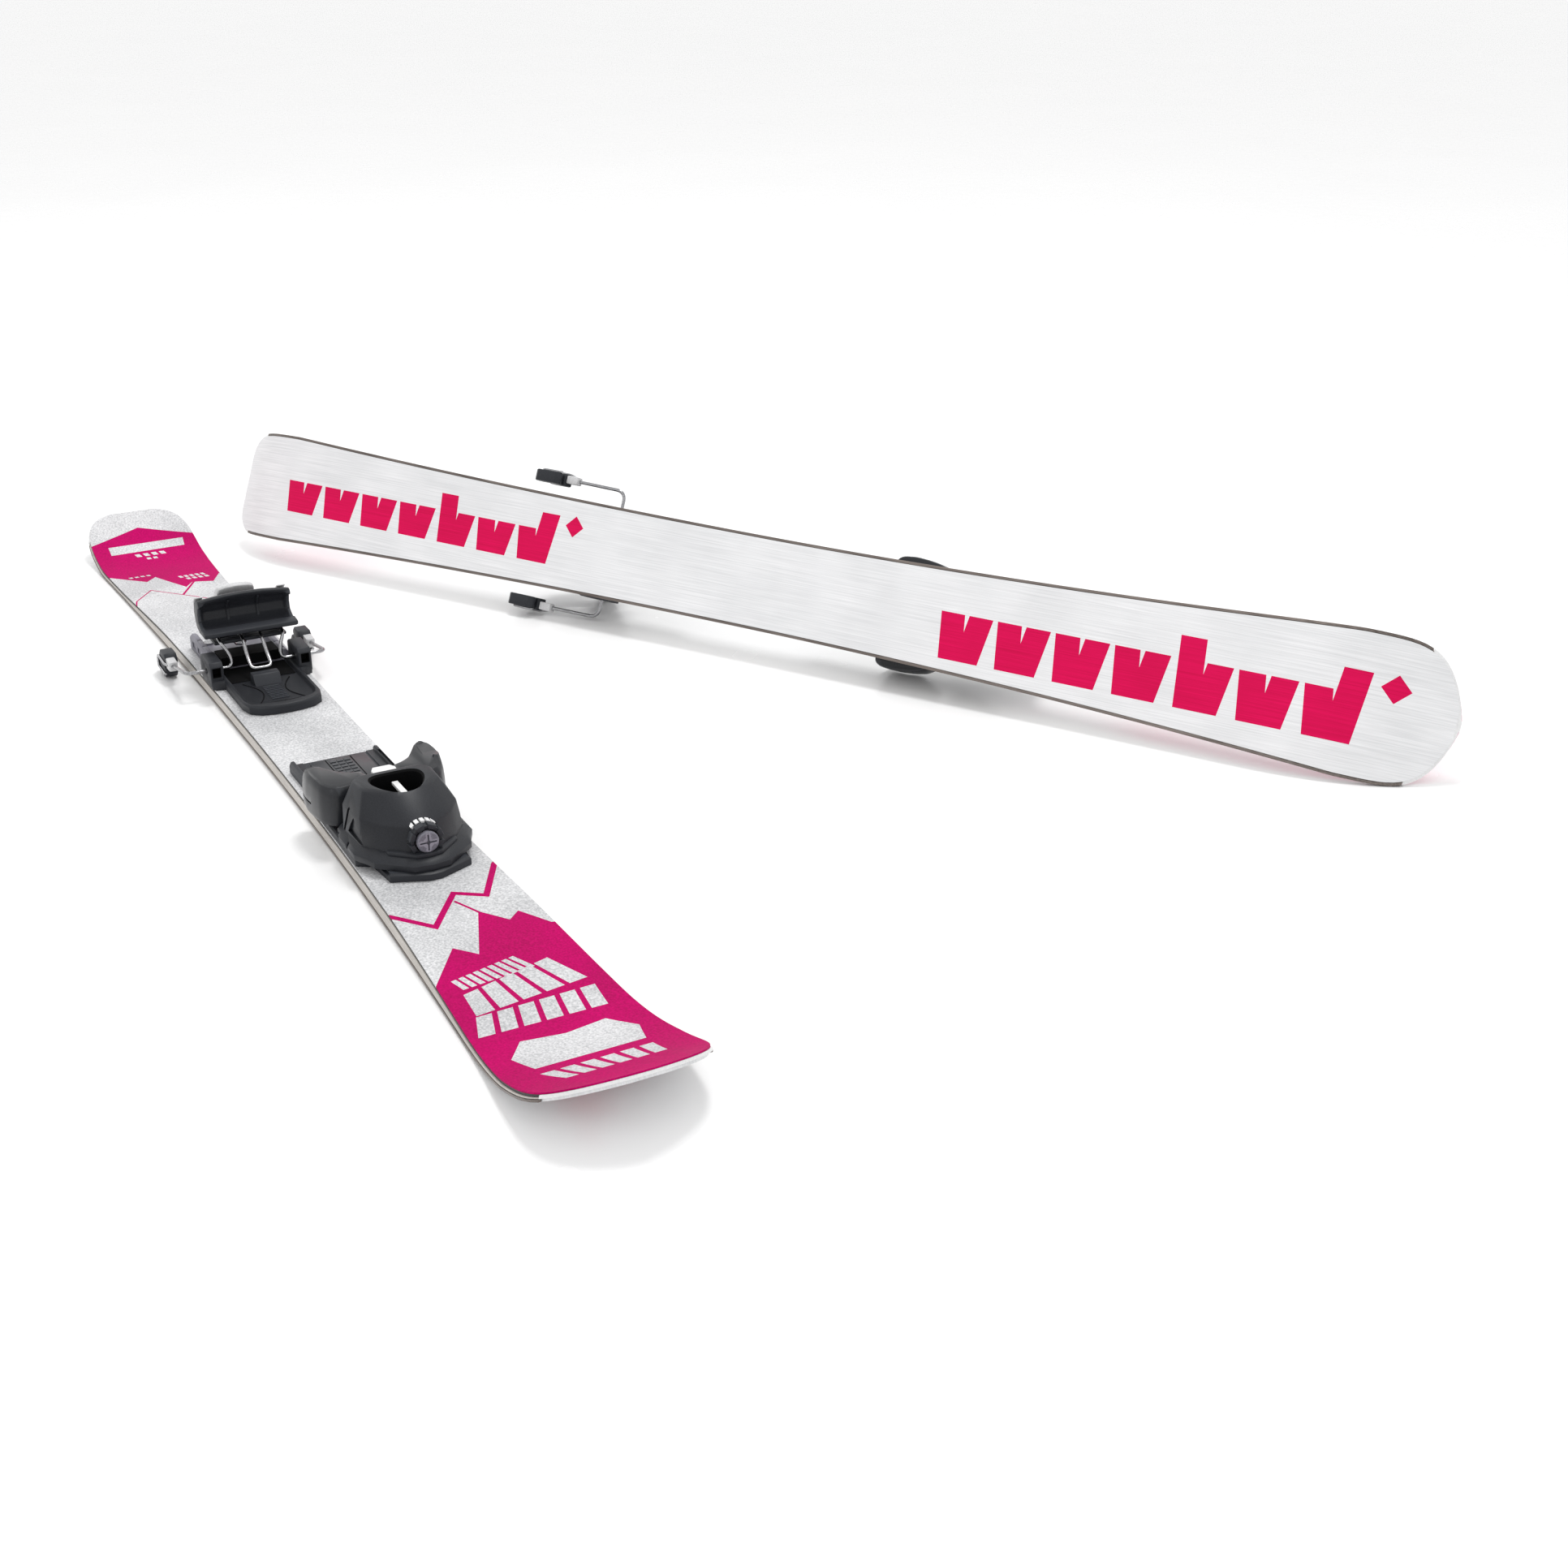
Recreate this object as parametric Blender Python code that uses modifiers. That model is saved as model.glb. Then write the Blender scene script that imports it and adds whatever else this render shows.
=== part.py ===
"""A pair of short alpine skis with release bindings and ski brakes.

The first ski lies on its base and the second stands on one edge behind it, leaning back.
Each ski is modelled in its own frame: +X to the tip, +Z out of the deck, origin on the base
at half length. Positions along the ski are given from the tail.
"""
import math

import bmesh
import bpy
from mathutils import Matrix, Vector

# The ski
LENGTH = 1.160
TIP_WIDTH, WAIST_WIDTH, TAIL_WIDTH = 0.109, 0.078, 0.099
TIP_AT, WAIST_AT, TAIL_AT = 1.085, 0.589, 0.080
TIP_RISE, TIP_CURVE = 0.039, 0.146
TAIL_RISE, TAIL_CURVE = 0.030, 0.100
CURVE_POWER = 2.26
MID_THICKNESS, END_THICKNESS = 0.0110, 0.0055
DECK_FLAT = (0.320, 0.870)
DECK_FADE = 0.200
EDGE_HEIGHT, EDGE_WIDTH = 0.0018, 0.0022
SHEET_THICKNESS = 0.0009
SIDEWALL_WIDTH = 0.0032
SPACER_LENGTH = 0.028
GAP = 0.0003

# The toe piece
DECK = MID_THICKNESS + GAP
PLATE_REAR, PLATE_FRONT, PLATE_TOP = 0.632, 0.843, 0.0165
RAIL_FRONT, RAIL_TOP, RAIL_SIDES = 0.700, 0.0205, (0.0290, 0.0330)
HOUSING_REAR, HOUSING_TOP = 0.757, 0.056
HOUSING_LEVELS = ((0.836, 0.0405, PLATE_TOP + GAP), (0.834, 0.0400, 0.0225),
                  (0.827, 0.0345, 0.0231), (0.824, 0.0345, 0.0360), (0.812, 0.0315, 0.0470),
                  (0.801, 0.0275, 0.0535), (0.796, 0.0245, HOUSING_TOP))
WINDOW = ((0.764, 0.0), (0.766, 0.015), (0.775, 0.0165), (0.790, 0.0125), (0.802, 0.0065),
          (0.805, 0.0))
WINDOW_FLOOR = 0.039
WING_PIVOT = (0.742, 0.030)
WING_HEIGHTS = (0.0195, 0.0460)
WING_HUB_RADIUS = 0.0125
PIN_RADIUS, PIN_TOP = 0.0030, 0.0480
TOE_SCREW_Z, TOE_SCREW_FACE = 0.033, 0.8325
TOE_BOSS_RADIUS, TOE_BOSS_FRONT = 0.0105, 0.8285
TOE_BORE_RADIUS, TOE_SHAFT_HOLE = 0.0075, 0.0041
TOE_BORE = (0.762, 0.808)
POINTER = (0.7865, 0.7925)
POINTER_BAR, POINTER_BAR_HEIGHTS = (0.7700, 0.7902), (0.0495, 0.0520)
PAD_REAR, PAD_FRONT, PAD_HALF = 0.6385, 0.6965, 0.0205
PAD_HEIGHTS = (0.0168, 0.0190)

# The heel piece
TRACK_REAR, TRACK_FRONT, TRACK_HALF = 0.342, 0.4155, 0.0310
TRACK_INNER_HALF, TRACK_FLOOR, TRACK_TOP = 0.0245, 0.0150, 0.0235
CARRIAGE_REAR, CARRIAGE_FRONT = 0.350, 0.3935
CARRIAGE_HALF, EAR_SIDES = 0.0285, (0.0200, 0.0258)
BRAKE_REAR, BRAKE_FRONT = 0.4160, 0.5200
TRAY_FLOOR, TRAY_TOP = 0.0150, 0.0185
TOWER_FRONT, TOWER_TOP, TOWER_SIDES = 0.4470, 0.0335, (0.0300, 0.0405)
BRAKE_PIVOT = (0.4335, 0.0235)
CUP_PIVOT, CUP_PIN_RADIUS, CUP_PIN_REACH = (0.3800, 0.0450), 0.0030, 0.0308
CUP_HALF, LUG_SIDES, RIB_SIDES = 0.0370, (0.0264, 0.0304), (0.0110, 0.0128)
LEVER_PIVOT, LEVER_PIN_RADIUS, LEVER_PIN_REACH = (0.3640, 0.0410), 0.0025, 0.0210
LEVER_HALF, LEVER_HUB_RADIUS = 0.0165, 0.0046
HEEL_SCREW_Z, HEEL_BORE_RADIUS = 0.0275, 0.0072
WIRE_RADIUS, ARM_SIDE = 0.0015, 0.0565
FOOT_REAR, FOOT_FRONT, FOOT_SIDES = 0.3500, 0.3800, (0.0505, 0.0625)
PEDAL_SPAN, PEDAL_HALF, PEDAL_HEIGHTS = (0.4020, 0.4215), 0.0290, (0.0384, 0.0414)

# Mounting screws, springs and the slots in the setting screws
SCREW_PLACES_TOE = ((0.706, 0.026), (0.800, 0.024))
SCREW_PLACES_HEEL = ((0.349, 0.018), (0.408, 0.018))
SCREW_HOLE_RADIUS, SCREW_HOLE_LOW = 0.0051, 0.010
SPRING_RADIUS, SPRING_WIRE = 0.0056, 0.0008
SLOT_REACH, SLOT_HALF, SLOT_DEPTH = 0.0050, 0.0007, 0.0012
# How far a cutting shape runs on past the faces it cuts through
OVERRUN = 0.002

# The second ski rests on three points: the edge near its tip, its lower brake foot and the
# end of its heel cup. That leans it back by 24.86 degrees and lifts its tail by 0.64 degrees.
SECOND_PLACE = Vector((-0.0361, 0.3802, 0.0633))
SECOND_YAW = 0.5369
SECOND_PITCH = math.radians(0.64)
SECOND_LEAN = -math.radians(90 + 24.86)

PLASTIC = ("satin charcoal plastic", (0.040, 0.044, 0.050), 0.42, 0.0)
PALE = ("grey violet plastic", (0.300, 0.290, 0.325), 0.45, 0.0)
STEEL = ("bright steel", (0.620, 0.620, 0.630), 0.25, 1.0)
EDGE_STEEL = ("ground edge steel", (0.420, 0.390, 0.370), 0.35, 1.0)
SHEET = ("white topsheet", (0.780, 0.785, 0.790), 0.50, 0.0)
RUNNING_BASE = ("pale running base", (0.800, 0.800, 0.805), 0.40, 0.0)
CREAM = ("cream sidewall", (0.800, 0.770, 0.710), 0.50, 0.0)
WOOD = ("laminated wood core", (0.520, 0.370, 0.220), 0.60, 0.0)
WHITE = ("white plastic", (0.850, 0.850, 0.850), 0.45, 0.0)
MATERIALS = {}


def clear_scene():
    for item in list(bpy.data.objects):
        bpy.data.objects.remove(item, do_unlink=True)


def material(recipe):
    name, colour, roughness, metallic = recipe
    if name not in MATERIALS:
        made = bpy.data.materials.new(name)
        made.use_nodes = True
        shader = made.node_tree.nodes["Principled BSDF"]
        shader.inputs["Base Color"].default_value = (*colour, 1.0)
        shader.inputs["Roughness"].default_value = roughness
        shader.inputs["Metallic"].default_value = metallic
        made.diffuse_color = (*colour, 1.0)
        MATERIALS[name] = made
    return MATERIALS[name]


def collection(name):
    made = bpy.data.collections.new(name)
    bpy.context.scene.collection.children.link(made)
    return made


# Shapes, all in the ski's own frame


def at(s):
    """The ski's own x for a distance from the tail."""
    return s - LENGTH / 2


def block(x, y, z):
    made = bmesh.new()
    bmesh.ops.create_cube(made, size=1.0)
    low = Vector((at(x[0]), y[0], z[0]))
    high = Vector((at(x[1]), y[1], z[1]))
    bmesh.ops.scale(made, vec=high - low, verts=made.verts)
    bmesh.ops.translate(made, vec=(low + high) / 2, verts=made.verts)
    return made


def rod(start, end, radius, sides=16):
    """A cylinder between two points given as (distance from the tail, y, z)."""
    low = Vector((at(start[0]), start[1], start[2]))
    high = Vector((at(end[0]), end[1], end[2]))
    turn = (high - low).to_track_quat("Z", "Y").to_matrix().to_4x4()
    made = bmesh.new()
    bmesh.ops.create_cone(made, cap_ends=True, segments=sides, radius1=radius, radius2=radius,
                          depth=(high - low).length,
                          matrix=Matrix.Translation((low + high) / 2) @ turn)
    return made


def prism(outline, across, span):
    """A flat outline pushed along one axis: outlines are (s, y), (s, z) or (y, z) pairs."""
    made = bmesh.new()
    corners = []
    for first, second in outline:
        if across == "Z":
            corners.append(made.verts.new((at(first), second, span[0])))
        elif across == "Y":
            corners.append(made.verts.new((at(first), span[0], second)))
        else:
            corners.append(made.verts.new((at(span[0]), first, second)))
    face = made.faces.new(corners)
    pushed = bmesh.ops.extrude_face_region(made, geom=[face])
    step = {"X": Vector((1, 0, 0)), "Y": Vector((0, 1, 0)), "Z": Vector((0, 0, 1))}[across]
    moved = [item for item in pushed["geom"] if isinstance(item, bmesh.types.BMVert)]
    bmesh.ops.translate(made, vec=step * (span[1] - span[0]), verts=moved)
    bmesh.ops.recalc_face_normals(made, faces=made.faces)
    return made


def loft(rings):
    """Closed skin through rings of equal point count, with flat ends."""
    made = bmesh.new()
    rows = [[made.verts.new(point) for point in ring] for ring in rings]
    count = len(rows[0])
    for row, following in zip(rows, rows[1:]):
        for index in range(count):
            beside = (index + 1) % count
            made.faces.new((row[index], row[beside], following[beside], following[index]))
    made.faces.new(rows[0])
    made.faces.new(rows[-1])
    bmesh.ops.recalc_face_normals(made, faces=made.faces)
    return made


def mirrored(outline):
    """The outline with y turned over, in the order that keeps it running the same way."""
    return [(first, -second) for first, second in reversed(outline)]


def arc(centre, radius, start, end, steps):
    angles = [math.radians(start + (end - start) * step / steps) for step in range(steps + 1)]
    return [(centre[0] + radius * math.cos(angle), centre[1] + radius * math.sin(angle))
            for angle in angles]


def bent(points, radius, steps=3):
    """Points along a wire whose inner corners are rounded to about the radius."""
    places = [Vector((at(point[0]), point[1], point[2])) for point in points]
    route = [places[0]]
    for before, corner, after in zip(places, places[1:], places[2:]):
        reach_in = min(radius, (before - corner).length / 2)
        reach_out = min(radius, (after - corner).length / 2)
        start = corner + (before - corner).normalized() * reach_in
        end = corner + (after - corner).normalized() * reach_out
        for step in range(steps + 1):
            share = step / steps
            first = start.lerp(corner, share)
            second = corner.lerp(end, share)
            route.append(first.lerp(second, share))
    route.append(places[-1])
    return route


class Ski:
    """Holds the frame and collections that one ski's pieces go into."""

    def __init__(self, prefix, parts, cutters):
        self.prefix = prefix
        self.parts = parts
        self.cutters = cutters
        self.frame = bpy.data.objects.new(prefix + "_frame", None)
        parts.objects.link(self.frame)

    def add(self, name, shape, look, pivot=(LENGTH / 2, 0.0, 0.0), bevel=0.0):
        """A named piece whose origin is at pivot, given as (distance from the tail, y, z)."""
        origin = Vector((at(pivot[0]), pivot[1], pivot[2]))
        bmesh.ops.translate(shape, vec=-origin, verts=shape.verts)
        mesh = bpy.data.meshes.new(self.prefix + "_" + name)
        shape.to_mesh(mesh)
        shape.free()
        made = bpy.data.objects.new(self.prefix + "_" + name, mesh)
        made.location = origin
        made.parent = self.frame
        mesh.materials.append(material(look))
        self.parts.objects.link(made)
        if bevel:
            edge = made.modifiers.new("rounded edges", "BEVEL")
            edge.width = bevel
            edge.segments = 1
            edge.limit_method = "ANGLE"
            edge.angle_limit = math.radians(30)
        return made

    def change(self, target, shape, operation):
        """Cut the shape out of the target, or unite it with the target."""
        mesh = bpy.data.meshes.new("tool")
        shape.to_mesh(mesh)
        shape.free()
        tool = bpy.data.objects.new(target.name + "_tool", mesh)
        tool.parent = self.frame
        tool.hide_render = True
        tool.display_type = "WIRE"
        self.cutters.objects.link(tool)
        step = target.modifiers.new(operation.lower(), "BOOLEAN")
        step.operation = operation
        step.solver = "EXACT"
        step.object = tool

    def wire(self, name, route, radius, look, pivot, resolution=2):
        origin = Vector((at(pivot[0]), pivot[1], pivot[2]))
        data = bpy.data.curves.new(self.prefix + "_" + name, "CURVE")
        data.dimensions = "3D"
        data.bevel_depth = radius
        data.bevel_resolution = resolution
        data.use_fill_caps = True
        spline = data.splines.new("POLY")
        spline.points.add(len(route) - 1)
        for point, place in zip(spline.points, route):
            point.co = (*(place - origin), 1.0)
        made = bpy.data.objects.new(self.prefix + "_" + name, data)
        made.location = origin
        made.parent = self.frame
        data.materials.append(material(look))
        self.parts.objects.link(made)
        return made


# The ski's outline, curve and layers


def half_width(s):
    """Half the ski's width: a parabola each side of the waist and rounded ends."""
    if s < TAIL_AT:
        reach = min((TAIL_AT - s) / TAIL_AT, 0.995)
        return TAIL_WIDTH / 2 * (1 - reach ** 6) ** 0.30
    if s > TIP_AT:
        reach = min((s - TIP_AT) / (LENGTH - TIP_AT), 0.995)
        return TIP_WIDTH / 2 * (1 - reach ** 5) ** 0.78
    if s < WAIST_AT:
        share = (WAIST_AT - s) / (WAIST_AT - TAIL_AT)
        return WAIST_WIDTH / 2 + (TAIL_WIDTH - WAIST_WIDTH) / 2 * share ** 2
    share = (s - WAIST_AT) / (TIP_AT - WAIST_AT)
    return WAIST_WIDTH / 2 + (TIP_WIDTH - WAIST_WIDTH) / 2 * share ** 2


def base_height(s):
    if s > LENGTH - TIP_CURVE:
        return TIP_RISE * ((s - LENGTH + TIP_CURVE) / TIP_CURVE) ** CURVE_POWER
    if s < TAIL_CURVE:
        return TAIL_RISE * ((TAIL_CURVE - s) / TAIL_CURVE) ** CURVE_POWER
    return 0.0


def thickness(s):
    if s < DECK_FLAT[0]:
        share = (DECK_FLAT[0] - s) / DECK_FADE
    else:
        share = (s - DECK_FLAT[1]) / DECK_FADE
    share = min(max(share, 0.0), 1.0)
    ease = share * share * (3 - 2 * share)
    return MID_THICKNESS + (END_THICKNESS - MID_THICKNESS) * ease


def stations(start, end):
    """Distances from the tail where the layers have a cross-section: closer at the ends."""
    near_end = (0.0, 0.002, 0.005, 0.010, 0.016, SPACER_LENGTH, 0.042, 0.060, 0.080)
    places = list(near_end) + [LENGTH - step for step in near_end]
    places += [0.100, 0.140, 0.190, 0.250, 0.320, 0.400, 0.480, 0.560, 0.640, 0.720, 0.800, 0.870]
    places += [0.930, 0.980, 1.014, 1.040, 1.062]
    inside = [place for place in places if start < place < end]
    return sorted(set([start, *inside, end]))


def layer(start, end, low, high, half_low, half_high):
    """A full-width layer: heights and half-widths are functions of the distance."""
    rings = []
    for s in stations(start, end):
        bottom, top = low(s), high(s)
        rings.append(((at(s), -half_low(s), bottom), (at(s), half_low(s), bottom),
                      (at(s), half_high(s), top), (at(s), -half_high(s), top)))
    return loft(rings)


def strip(start, end, low, high, inner, outer_low, outer_high, side):
    """A narrow layer along one side of the ski."""
    rings = []
    for s in stations(start, end):
        bottom, top = low(s), high(s)
        rings.append(((at(s), side * inner(s), bottom), (at(s), side * outer_low(s), bottom),
                      (at(s), side * outer_high(s), top), (at(s), side * inner(s), top)))
    return loft(rings)


def core_low(s):
    return base_height(s) + EDGE_HEIGHT + GAP


def core_high(s):
    return base_height(s) + thickness(s) - SHEET_THICKNESS - GAP


def build_board(ski):
    inner_start, inner_end = SPACER_LENGTH, LENGTH - SPACER_LENGTH

    def edge_top(s):
        return base_height(s) + EDGE_HEIGHT

    def sheet_half(s):
        inside = half_width(s) - EDGE_WIDTH - GAP
        if inner_start <= s <= inner_end:
            return inside
        return max(inside, 0.0012)

    ski.add("base_sheet", layer(0.0025, LENGTH - 0.0025, base_height, edge_top, sheet_half,
                                sheet_half), RUNNING_BASE)
    for name, side in (("left", -1), ("right", 1)):
        ski.add("edge_" + name, strip(inner_start, inner_end, base_height, edge_top,
                                      lambda s: half_width(s) - EDGE_WIDTH, half_width,
                                      half_width, side), EDGE_STEEL)
        ski.add("sidewall_" + name, strip(inner_start, inner_end, core_low, core_high,
                                          lambda s: half_width(s) - SIDEWALL_WIDTH,
                                          lambda s: half_width(s) - 0.0004,
                                          lambda s: half_width(s) - 0.0014, side), CREAM)

    def core_half(s):
        return half_width(s) - SIDEWALL_WIDTH - GAP

    ski.add("core", layer(inner_start, inner_end, core_low, core_high, core_half, core_half),
            WOOD)
    ends = (("tail_spacer", 0.0, inner_start - GAP), ("tip_spacer", inner_end + GAP, LENGTH))
    for name, start, end in ends:
        ski.add(name, layer(start, end, core_low, core_high, half_width,
                            lambda s: half_width(s) * 0.985), WHITE)

    def topsheet_low(s):
        return core_high(s) + GAP

    def topsheet_high(s):
        return base_height(s) + thickness(s)

    ski.add("topsheet", layer(0.0008, LENGTH - 0.0008, topsheet_low, topsheet_high,
                              lambda s: max(half_width(s) - 0.0014, 0.0010),
                              lambda s: max(half_width(s) - 0.0018, 0.0008)), SHEET)


def turned(profile, z, sides=16):
    """A round solid along the ski, from (radius, distance from the tail) pairs."""
    rings = []
    for radius, s in profile:
        rings.append([(at(s), radius * math.cos(turn * math.tau / sides),
                       z + radius * math.sin(turn * math.tau / sides))
                      for turn in range(sides)])
    return loft(rings)


def coil(start, end, radius, z, turns, points=9):
    """A helix along the ski, as (x, y, z) in the ski's own frame."""
    total = turns * points
    return [Vector((at(start + (end - start) * step / total),
                    radius * math.cos(step * math.tau / points),
                    z + radius * math.sin(step * math.tau / points)))
            for step in range(total + 1)]


# The toe piece


def across(side, reach):
    """The span from reach[0] to reach[1] on the given side of the ski, low end first."""
    return sorted((side * reach[0], side * reach[1]))


def cross_slot(ski, screw, face, z, inward):
    """A cross-shaped slot in a screw's face: inward is -1 or 1 along the ski."""
    depth = sorted((face + inward * SLOT_DEPTH, face - inward * OVERRUN))
    for half_y, half_z in ((SLOT_REACH, SLOT_HALF), (SLOT_HALF, SLOT_REACH)):
        ski.change(screw, block(depth, (-half_y, half_y), (z - half_z, z + half_z)),
                   "DIFFERENCE")


def build_toe(ski):
    outline = [(PLATE_REAR, -0.033), (0.700, -0.033), (0.716, -0.038), (0.800, -0.0405),
               (0.826, -0.036), (PLATE_FRONT - 0.002, -0.026), (PLATE_FRONT, 0.0)]
    outline = outline + [(s, -y) for s, y in reversed(outline[:-1])]
    plate = ski.add("toe_plate", prism(outline, "Z", (DECK, PLATE_TOP)), PLASTIC)
    for side in (-1, 1):
        rail = block((PLATE_REAR, RAIL_FRONT), across(side, RAIL_SIDES), (PLATE_TOP - 0.001,
                                                                          RAIL_TOP))
        ski.change(plate, rail, "UNION")
        for s, y in SCREW_PLACES_TOE:
            ski.change(plate, rod((s, side * y, SCREW_HOLE_LOW), (s, side * y, PLATE_TOP + OVERRUN),
                                  SCREW_HOLE_RADIUS, 12), "DIFFERENCE")
    build_toe_housing(ski)
    build_wings(ski)
    for side in (-1, 1):
        middle = (WING_PIVOT[0], side * WING_PIVOT[1])
        ski.change(plate, rod((*middle, PLATE_TOP - OVERRUN), (*middle, PIN_TOP), PIN_RADIUS),
                   "UNION")
    ski.add("afd_pad", block((PAD_REAR, PAD_FRONT), (-PAD_HALF, PAD_HALF), PAD_HEIGHTS), PALE,
            pivot=((PAD_REAR + PAD_FRONT) / 2, 0.0, PAD_HEIGHTS[0]), bevel=0.0006)


def housing_ring(front, half, z):
    """A bow shape: straight across the rear and rounded at the front."""
    nose = 0.48 * (front - HOUSING_REAR)
    side = [(HOUSING_REAR, 0.84 * half), (HOUSING_REAR + 0.008, half)]
    for step in range(5):
        angle = math.radians(18 * step)
        side.append((front - nose + nose * math.sin(angle) ** 0.9, half * math.cos(angle) ** 0.75))
    side.append((front, 0.18 * half))
    around = side + [(s, -y) for s, y in reversed(side)]
    return [(at(s), y, z) for s, y in around]


def build_toe_housing(ski):
    housing = ski.add("toe_housing", loft([housing_ring(*level) for level in HOUSING_LEVELS]),
                      PLASTIC)
    z = TOE_SCREW_Z
    ski.change(housing, rod((0.800, 0, z), (TOE_BOSS_FRONT, 0, z), TOE_BOSS_RADIUS, 12), "UNION")
    window = list(WINDOW) + [(s, -y) for s, y in reversed(WINDOW[1:-1])]
    ski.change(housing, prism(window, "Z", (WINDOW_FLOOR, HOUSING_TOP + OVERRUN)), "DIFFERENCE")
    ski.change(housing, rod((TOE_BORE[0], 0, z), (TOE_BORE[1], 0, z), TOE_BORE_RADIUS),
               "DIFFERENCE")
    ski.change(housing, rod((0.800, 0, z), (0.840, 0, z), TOE_SHAFT_HOLE, 12), "DIFFERENCE")
    ski.wire("toe_spring", coil(0.7645, 0.7805, SPRING_RADIUS, z, 4), SPRING_WIRE, STEEL,
             (0.7645, 0.0, z), 0)
    profile = ((0.0034, 0.7680), (0.0034, 0.8288), (0.0075, 0.8288), (0.0075, 0.8315),
               (0.0066, TOE_SCREW_FACE))
    screw = ski.add("toe_din_screw", turned(profile, z), PALE, pivot=(TOE_SCREW_FACE, 0.0, z))
    cross_slot(ski, screw, TOE_SCREW_FACE, z, -1)
    build_pointer(ski)


def build_pointer(ski):
    """A plate on the screw's thread whose bar shows in the window."""
    z = TOE_SCREW_Z
    pointer = ski.add("toe_indicator", block(POINTER, (-0.0044, 0.0044), (z - 0.0054, z + 0.0054)),
                      WHITE, pivot=(sum(POINTER) / 2, 0.0, z))
    ski.change(pointer, rod((0.780, 0, z), (0.800, 0, z), 0.0040, 12), "DIFFERENCE")
    ski.change(pointer, block((0.7870, 0.7900), (-0.0015, 0.0015),
                              (z + 0.0050, POINTER_BAR_HEIGHTS[0] + 0.0010)), "UNION")
    ski.change(pointer, block(POINTER_BAR, (-0.0022, 0.0022), POINTER_BAR_HEIGHTS), "UNION")


def build_wings(ski):
    outline = arc(WING_PIVOT, WING_HUB_RADIUS, -70, 110, 6)
    outline += [(0.722, 0.0435), (0.703, 0.0430), (0.6985, 0.0400), (0.7000, 0.0360),
                (0.7120, 0.0310), (0.7220, 0.0245), (0.7290, 0.0150), (0.7310, 0.0080),
                (0.7330, 0.0060), (0.7445, 0.0060), (0.7463, 0.0100)]
    for name, side in (("left", -1), ("right", 1)):
        flat = outline if side > 0 else mirrored(outline)
        middle = (WING_PIVOT[0], side * WING_PIVOT[1])
        wing = ski.add("wing_" + name, prism(flat, "Z", WING_HEIGHTS), PLASTIC,
                       pivot=(*middle, WING_HEIGHTS[0]), bevel=0.0018)
        ski.change(wing, rod((*middle, 0.010), (*middle, 0.060), PIN_RADIUS + GAP), "DIFFERENCE")


# The heel piece


def build_track(ski):
    half, inner = TRACK_HALF, TRACK_INNER_HALF
    profile = [(-half, DECK), (half, DECK), (half, 0.0215), (half - 0.002, TRACK_TOP),
               (inner, TRACK_TOP), (inner, TRACK_FLOOR), (-inner, TRACK_FLOOR),
               (-inner, TRACK_TOP), (0.002 - half, TRACK_TOP), (-half, 0.0215)]
    track = ski.add("heel_track", prism(profile, "X", (TRACK_REAR, TRACK_FRONT)), PALE)
    for s, y in SCREW_PLACES_HEEL:
        for side in (-1, 1):
            ski.change(track, rod((s, side * y, SCREW_HOLE_LOW),
                                  (s, side * y, TRACK_FLOOR + OVERRUN), SCREW_HOLE_RADIUS, 12),
                       "DIFFERENCE")


def build_carriage(ski):
    rear, front, half = CARRIAGE_REAR, CARRIAGE_FRONT, CARRIAGE_HALF
    carriage = ski.add("heel_carriage", block((rear, front), (-0.0238, 0.0238), (0.0155, 0.0250)),
                       PLASTIC, pivot=(rear, 0.0, 0.0155))
    body = [(rear, 0.0242), (front, 0.0242), (front, 0.0330), (front - 0.004, 0.0360),
            (rear + 0.003, 0.0360), (rear, 0.0330)]
    ski.change(carriage, prism(body, "Y", (-half, half)), "UNION")
    ear = [(0.3570, 0.0355), (0.3860, 0.0355), (0.3870, 0.0450), (0.3840, 0.0508),
           (0.3760, 0.0512), (0.3625, 0.0490), (0.3570, 0.0440)]
    for side in (-1, 1):
        ski.change(carriage, prism(ear, "Y", across(side, EAR_SIDES)), "UNION")
    for (s, z), reach, radius in ((CUP_PIVOT, CUP_PIN_REACH, CUP_PIN_RADIUS),
                                  (LEVER_PIVOT, LEVER_PIN_REACH, LEVER_PIN_RADIUS)):
        ski.change(carriage, rod((s, -reach, z), (s, reach, z), radius), "UNION")
    z = HEEL_SCREW_Z
    ski.change(carriage, rod((rear - 0.005, 0, z), (0.3860, 0, z), HEEL_BORE_RADIUS),
               "DIFFERENCE")
    ski.wire("heel_spring", coil(0.3545, 0.3840, SPRING_RADIUS, z, 6), SPRING_WIRE, STEEL,
             (0.3545, 0.0, z), 0)
    face = 0.3450
    profile = ((0.0060, face), (0.0067, face + 0.001), (0.0067, 0.3532))
    screw = ski.add("heel_din_screw", turned(profile, z), PALE, pivot=(face, 0.0, z))
    cross_slot(ski, screw, face, z, 1)


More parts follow.
